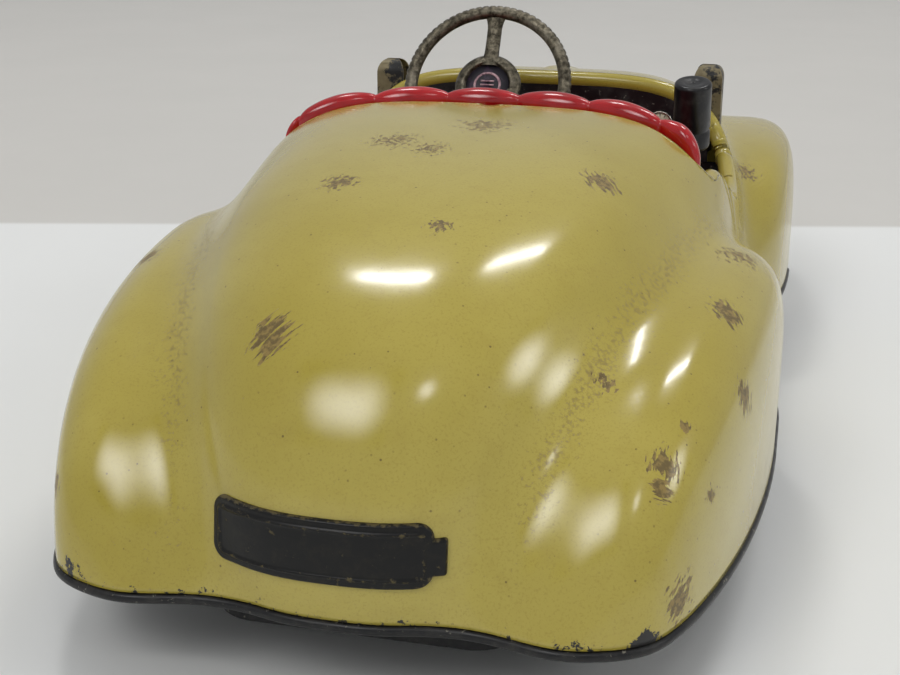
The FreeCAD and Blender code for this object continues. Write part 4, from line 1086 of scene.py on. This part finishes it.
def plate_enamel():
    paint = Paint("plate_black")
    # Lighter brown along the edge and border: a painted edge highlight mixed with rubbed wear from the noise.
    rubbed = paint.math("ADD", paint.math("MULTIPLY", paint.attribute("worn"), 0.2), paint.noise(1.5, 5, 0.7))
    worn = paint.ramp(rubbed, 0.62, 0.74)
    dust = paint.ramp(paint.noise(0.8, 5, 0.7), 0.45, 0.8)
    colour = paint.blend(dust, rgb(0.004, 0.004, 0.004), rgb(0.014, 0.012, 0.008))
    colour = paint.blend(paint.math("MULTIPLY", worn, 0.7), colour, rgb(0.14, 0.11, 0.045))
    rough = paint.math("ADD", 0.34, paint.math("MULTIPLY", worn, 0.25))
    paint.bump(paint.math("SUBTRACT", paint.noise(1.2, 3), worn), 0.04, 0.5)
    return paint.set(Base_Color=colour, Roughness=rough, Specular_IOR_Level=0.3)


def make_base_edge(black):
    """The rolled rim of the black base, which stops at the front wheel arches."""
    turn = np.radians(np.linspace(-180, 180, 721)[:-1])
    outline = skin_points(turn, np.zeros(len(turn)))
    normal = form_normal(outline)
    normal[:, 2] = 0
    normal /= np.linalg.norm(normal, axis=1, keepdims=True)
    path = outline - normal * 0.18
    path[:, 2] = FORM["bottom"] - 0.55
    axle = middle_of("front_tyre_left").y
    gap = np.abs(path[:, 1] - axle) < ARCH_RADIUS + 0.3
    start = int(np.argmax(gap & ~np.roll(gap, 1)))
    path, gap = np.roll(path, -start, 0), np.roll(gap, -start)
    rims = []
    at = 0
    while at < len(path):
        if gap[at]:
            at += 1
            continue
        end = at
        while end < len(path) and not gap[end]:
            end += 1
        rims.append(tube("rim", path[at:end], 0.44, 12))
        at = end
    finish_piece(join("base_rolled_edge", rims), "body", "black_enamel", black)


def make_tyres(rubber_paint):
    outer = wheel_radius()
    low, high = [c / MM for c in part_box("rear_tyre_left")]
    half = (high.x - low.x) / 2
    inner = 7.4
    tread = [(outer - 0.02, -1.3), (outer - 0.02, -0.95), (outer - 0.4, -0.85), (outer - 0.4, -0.55),
             (outer, -0.45), (outer, 0.45), (outer - 0.4, 0.55), (outer - 0.4, 0.85),
             (outer - 0.02, 0.95), (outer - 0.02, 1.3)]
    wall = [(outer - 0.25, half - 0.85), (outer - 0.75, half - 0.35), (outer - 1.5, half - 0.06),
            (outer - 2.1, half - 0.02), (outer - 2.3, half - 0.16), (outer - 2.5, half - 0.02),
            (inner + 0.5, half - 0.25), (inner + 0.01, half - 0.6)]
    outline = [(r, -h) for r, h in reversed(wall)] + tread + wall
    bodies = dict(rear_tyre_left="rear_axle", rear_tyre_right="rear_axle",
                  front_tyre_left="front_wheel_left", front_tyre_right="front_wheel_right")
    upright = Matrix.Rotation(math.radians(90), 4, "Y")
    for node, body in bodies.items():
        place = Matrix.Translation(middle_of(node) * MM) @ upright
        tyre = lathe(f"{node}_tread", outline, place, 120)
        finish_piece(tyre, body, "black_tyre", rubber_paint, node)


# ---------------------------------------------------------------- stage, light and camera
def rectangle(name, x, y):
    """A flat face reaching x and y millimetres each way from its middle."""
    return mesh_object(name, [(-x, -y, 0), (x, -y, 0), (x, y, 0), (-x, y, 0)], [(0, 1, 2, 3)], smooth=False)


def make_stage():
    paint = Paint("pale_floor")
    tone = paint.blend(paint.noise(0.01, 3), rgb(0.80, 0.805, 0.785), rgb(0.84, 0.845, 0.825))
    wall = paint.blend(paint.noise(0.03, 4), rgb(0.60, 0.585, 0.545), rgb(0.65, 0.63, 0.59))
    away = paint.node("ShaderNodeVectorMath")
    away.operation = "DOT_PRODUCT"
    paint.put(away.inputs[0], paint.place)
    away.inputs[1].default_value = (-0.2385, 0.9711, 0)
    tone = paint.blend(paint.ramp(away.outputs["Value"], 77.5, 80.0), tone, wall)
    paint.bump(paint.noise(0.6, 3), 0.02, 0.2)
    paint.set(Base_Color=tone, Roughness=0.5)
    reach = 3000
    floor = rectangle("floor", reach, reach)
    floor.data.materials.append(paint.material)
    world = bpy.data.worlds.new("soft_room")
    bpy.context.scene.world = world
    world.use_nodes = True
    world.node_tree.nodes["Background"].inputs["Color"].default_value = rgb(0.97, 0.98, 1.0)
    world.node_tree.nodes["Background"].inputs["Strength"].default_value = 0.46


def aim(obj, direction, along, distance, target=(0, -30, 20)):
    """Faces a light at the car from a direction, its long side laid along another."""
    towards = Vector(direction).normalized()
    across = (Vector(along) - towards * Vector(along).dot(towards)).normalized()
    turn = Matrix((across, towards.cross(across), towards)).transposed().to_4x4()
    obj.matrix_world = Matrix.Translation((Vector(target) + towards * distance) * MM) @ turn


def tube_light(name, direction, along, length, width, power):
    light = bpy.data.lights.new(name, "AREA")
    light.shape = "RECTANGLE"
    light.size = length * MM
    light.size_y = width * MM
    light.energy = power
    obj = bpy.data.objects.new(name, light)
    bpy.context.scene.collection.objects.link(obj)
    aim(obj, direction, along, 900)


def soft_window(name, direction, width, height, strength, colour=(1, 1, 1)):
    """A glowing pane whose light fades towards its edges."""
    pane = rectangle(name, width, height)
    material = bpy.data.materials.new(name)
    material.use_nodes = True
    tree = material.node_tree
    tree.nodes.clear()
    place = tree.nodes.new("ShaderNodeTexCoord")
    scale = tree.nodes.new("ShaderNodeMapping")
    scale.inputs["Scale"].default_value = (1000 / width, 1000 / height, 1)
    length = tree.nodes.new("ShaderNodeVectorMath")
    length.operation = "LENGTH"
    fade = tree.nodes.new("ShaderNodeMapRange")
    fade.interpolation_type = "SMOOTHSTEP"
    for key, value in (("From Min", 0.05), ("From Max", 1.0), ("To Min", strength), ("To Max", 0.0)):
        fade.inputs[key].default_value = value
    glow = tree.nodes.new("ShaderNodeEmission")
    glow.inputs["Color"].default_value = (*colour, 1.0)
    out = tree.nodes.new("ShaderNodeOutputMaterial")
    for a, b in ((place.outputs["Object"], scale.inputs["Vector"]),
                 (scale.outputs["Vector"], length.inputs[0]),
                 (length.outputs["Value"], fade.inputs["Value"]),
                 (fade.outputs["Result"], glow.inputs["Strength"]),
                 (glow.outputs["Emission"], out.inputs["Surface"])):
        tree.links.new(a, b)
    pane.data.materials.append(material)
    aim(pane, direction, (1, 0, 0.01), 900)


def sky(azimuth, elevation):
    """A direction from its azimuth east of the car's nose and its height, in degrees."""
    a, e = math.radians(azimuth), math.radians(elevation)
    return (math.sin(a) * math.cos(e), math.cos(a) * math.cos(e), math.sin(e))


def make_lights():
    tube_light("tube_left", sky(-35, 68), (1, 0.05, 0.2), 150, 40, 1.1)
    tube_light("tube_right", sky(28, 60), (0.85, 0.45, -0.5), 260, 36, 1.4)
    soft_window("window_behind", sky(-160, 46), 250, 330, 8.0)
    soft_window("lamp_behind", sky(152, 54), 95, 95, 13.0)
    soft_window("window_right", sky(90, 31), 210, 190, 9.0)


def make_camera():
    data = bpy.data.cameras.new("camera")
    data.sensor_width = 36.0
    data.lens = 57.4
    data.clip_start = 0.005
    camera = bpy.data.objects.new("camera", data)
    bpy.context.scene.collection.objects.link(camera)
    yaw, pitch, roll = math.radians(13.8), math.radians(19.2), math.radians(0.24)
    ahead = Vector((-math.sin(yaw) * math.cos(pitch), math.cos(yaw) * math.cos(pitch), -math.sin(pitch)))
    turn = ahead.to_track_quat("-Z", "Y").to_matrix().to_4x4() @ Matrix.Rotation(roll, 4, "Z")
    camera.matrix_world = Matrix.Translation(Vector((31.35, -161.5, 63.85)) * MM) @ turn
    bpy.context.scene.camera = camera


# ---------------------------------------------------------------- build
make_camera()
make_stage()
make_lights()
bpy.context.scene.view_settings.view_transform = "Standard"

CREAM = cream_enamel()
RED = red_enamel()
BLACK = black_enamel()
PAN_BLACK = black_enamel("pan_black", 0.62, 0.34)
WORN = worn_post()
PEWTER = cast_pewter()
STEEL = bare_steel()
BRASS = brass()
NICKEL = nickel()
RUBBER = rubber()
LENS = milky_lens()
IVORY = ivory()
IRON = iron()
BOSS = boss_enamel()
MOTIF = boss_motif()
SLOT_PAINTS = {
    "cream_enamel": CREAM, "black_enamel": PAN_BLACK, "black_worn_brass": WORN, "red_enamel": RED,
    "cast_pewter": PEWTER, "boss_disc": BOSS, "ivory_dials": IVORY, "nickel": NICKEL, "lens_glass": LENS,
    "steel": STEEL, "brass_gears": BRASS, "flywheel_iron": IRON, "black_tyre": RUBBER,
}
for part in frame["record"]["subparts"]:
    node = frame["nodes"][part["node"]]
    node.data.materials.clear()
    node.data.materials.append(SLOT_PAINTS[part["material_slot"]])

make_skins(CREAM)
make_seat(RED)
make_steering_wheel(PEWTER, BOSS, MOTIF)
make_knob(BLACK)
make_posts(WORN)
make_dials(IVORY, NICKEL, BLACK)
make_rear_plate(plate_enamel())
make_base_edge(PAN_BLACK)
make_tyres(RUBBER)
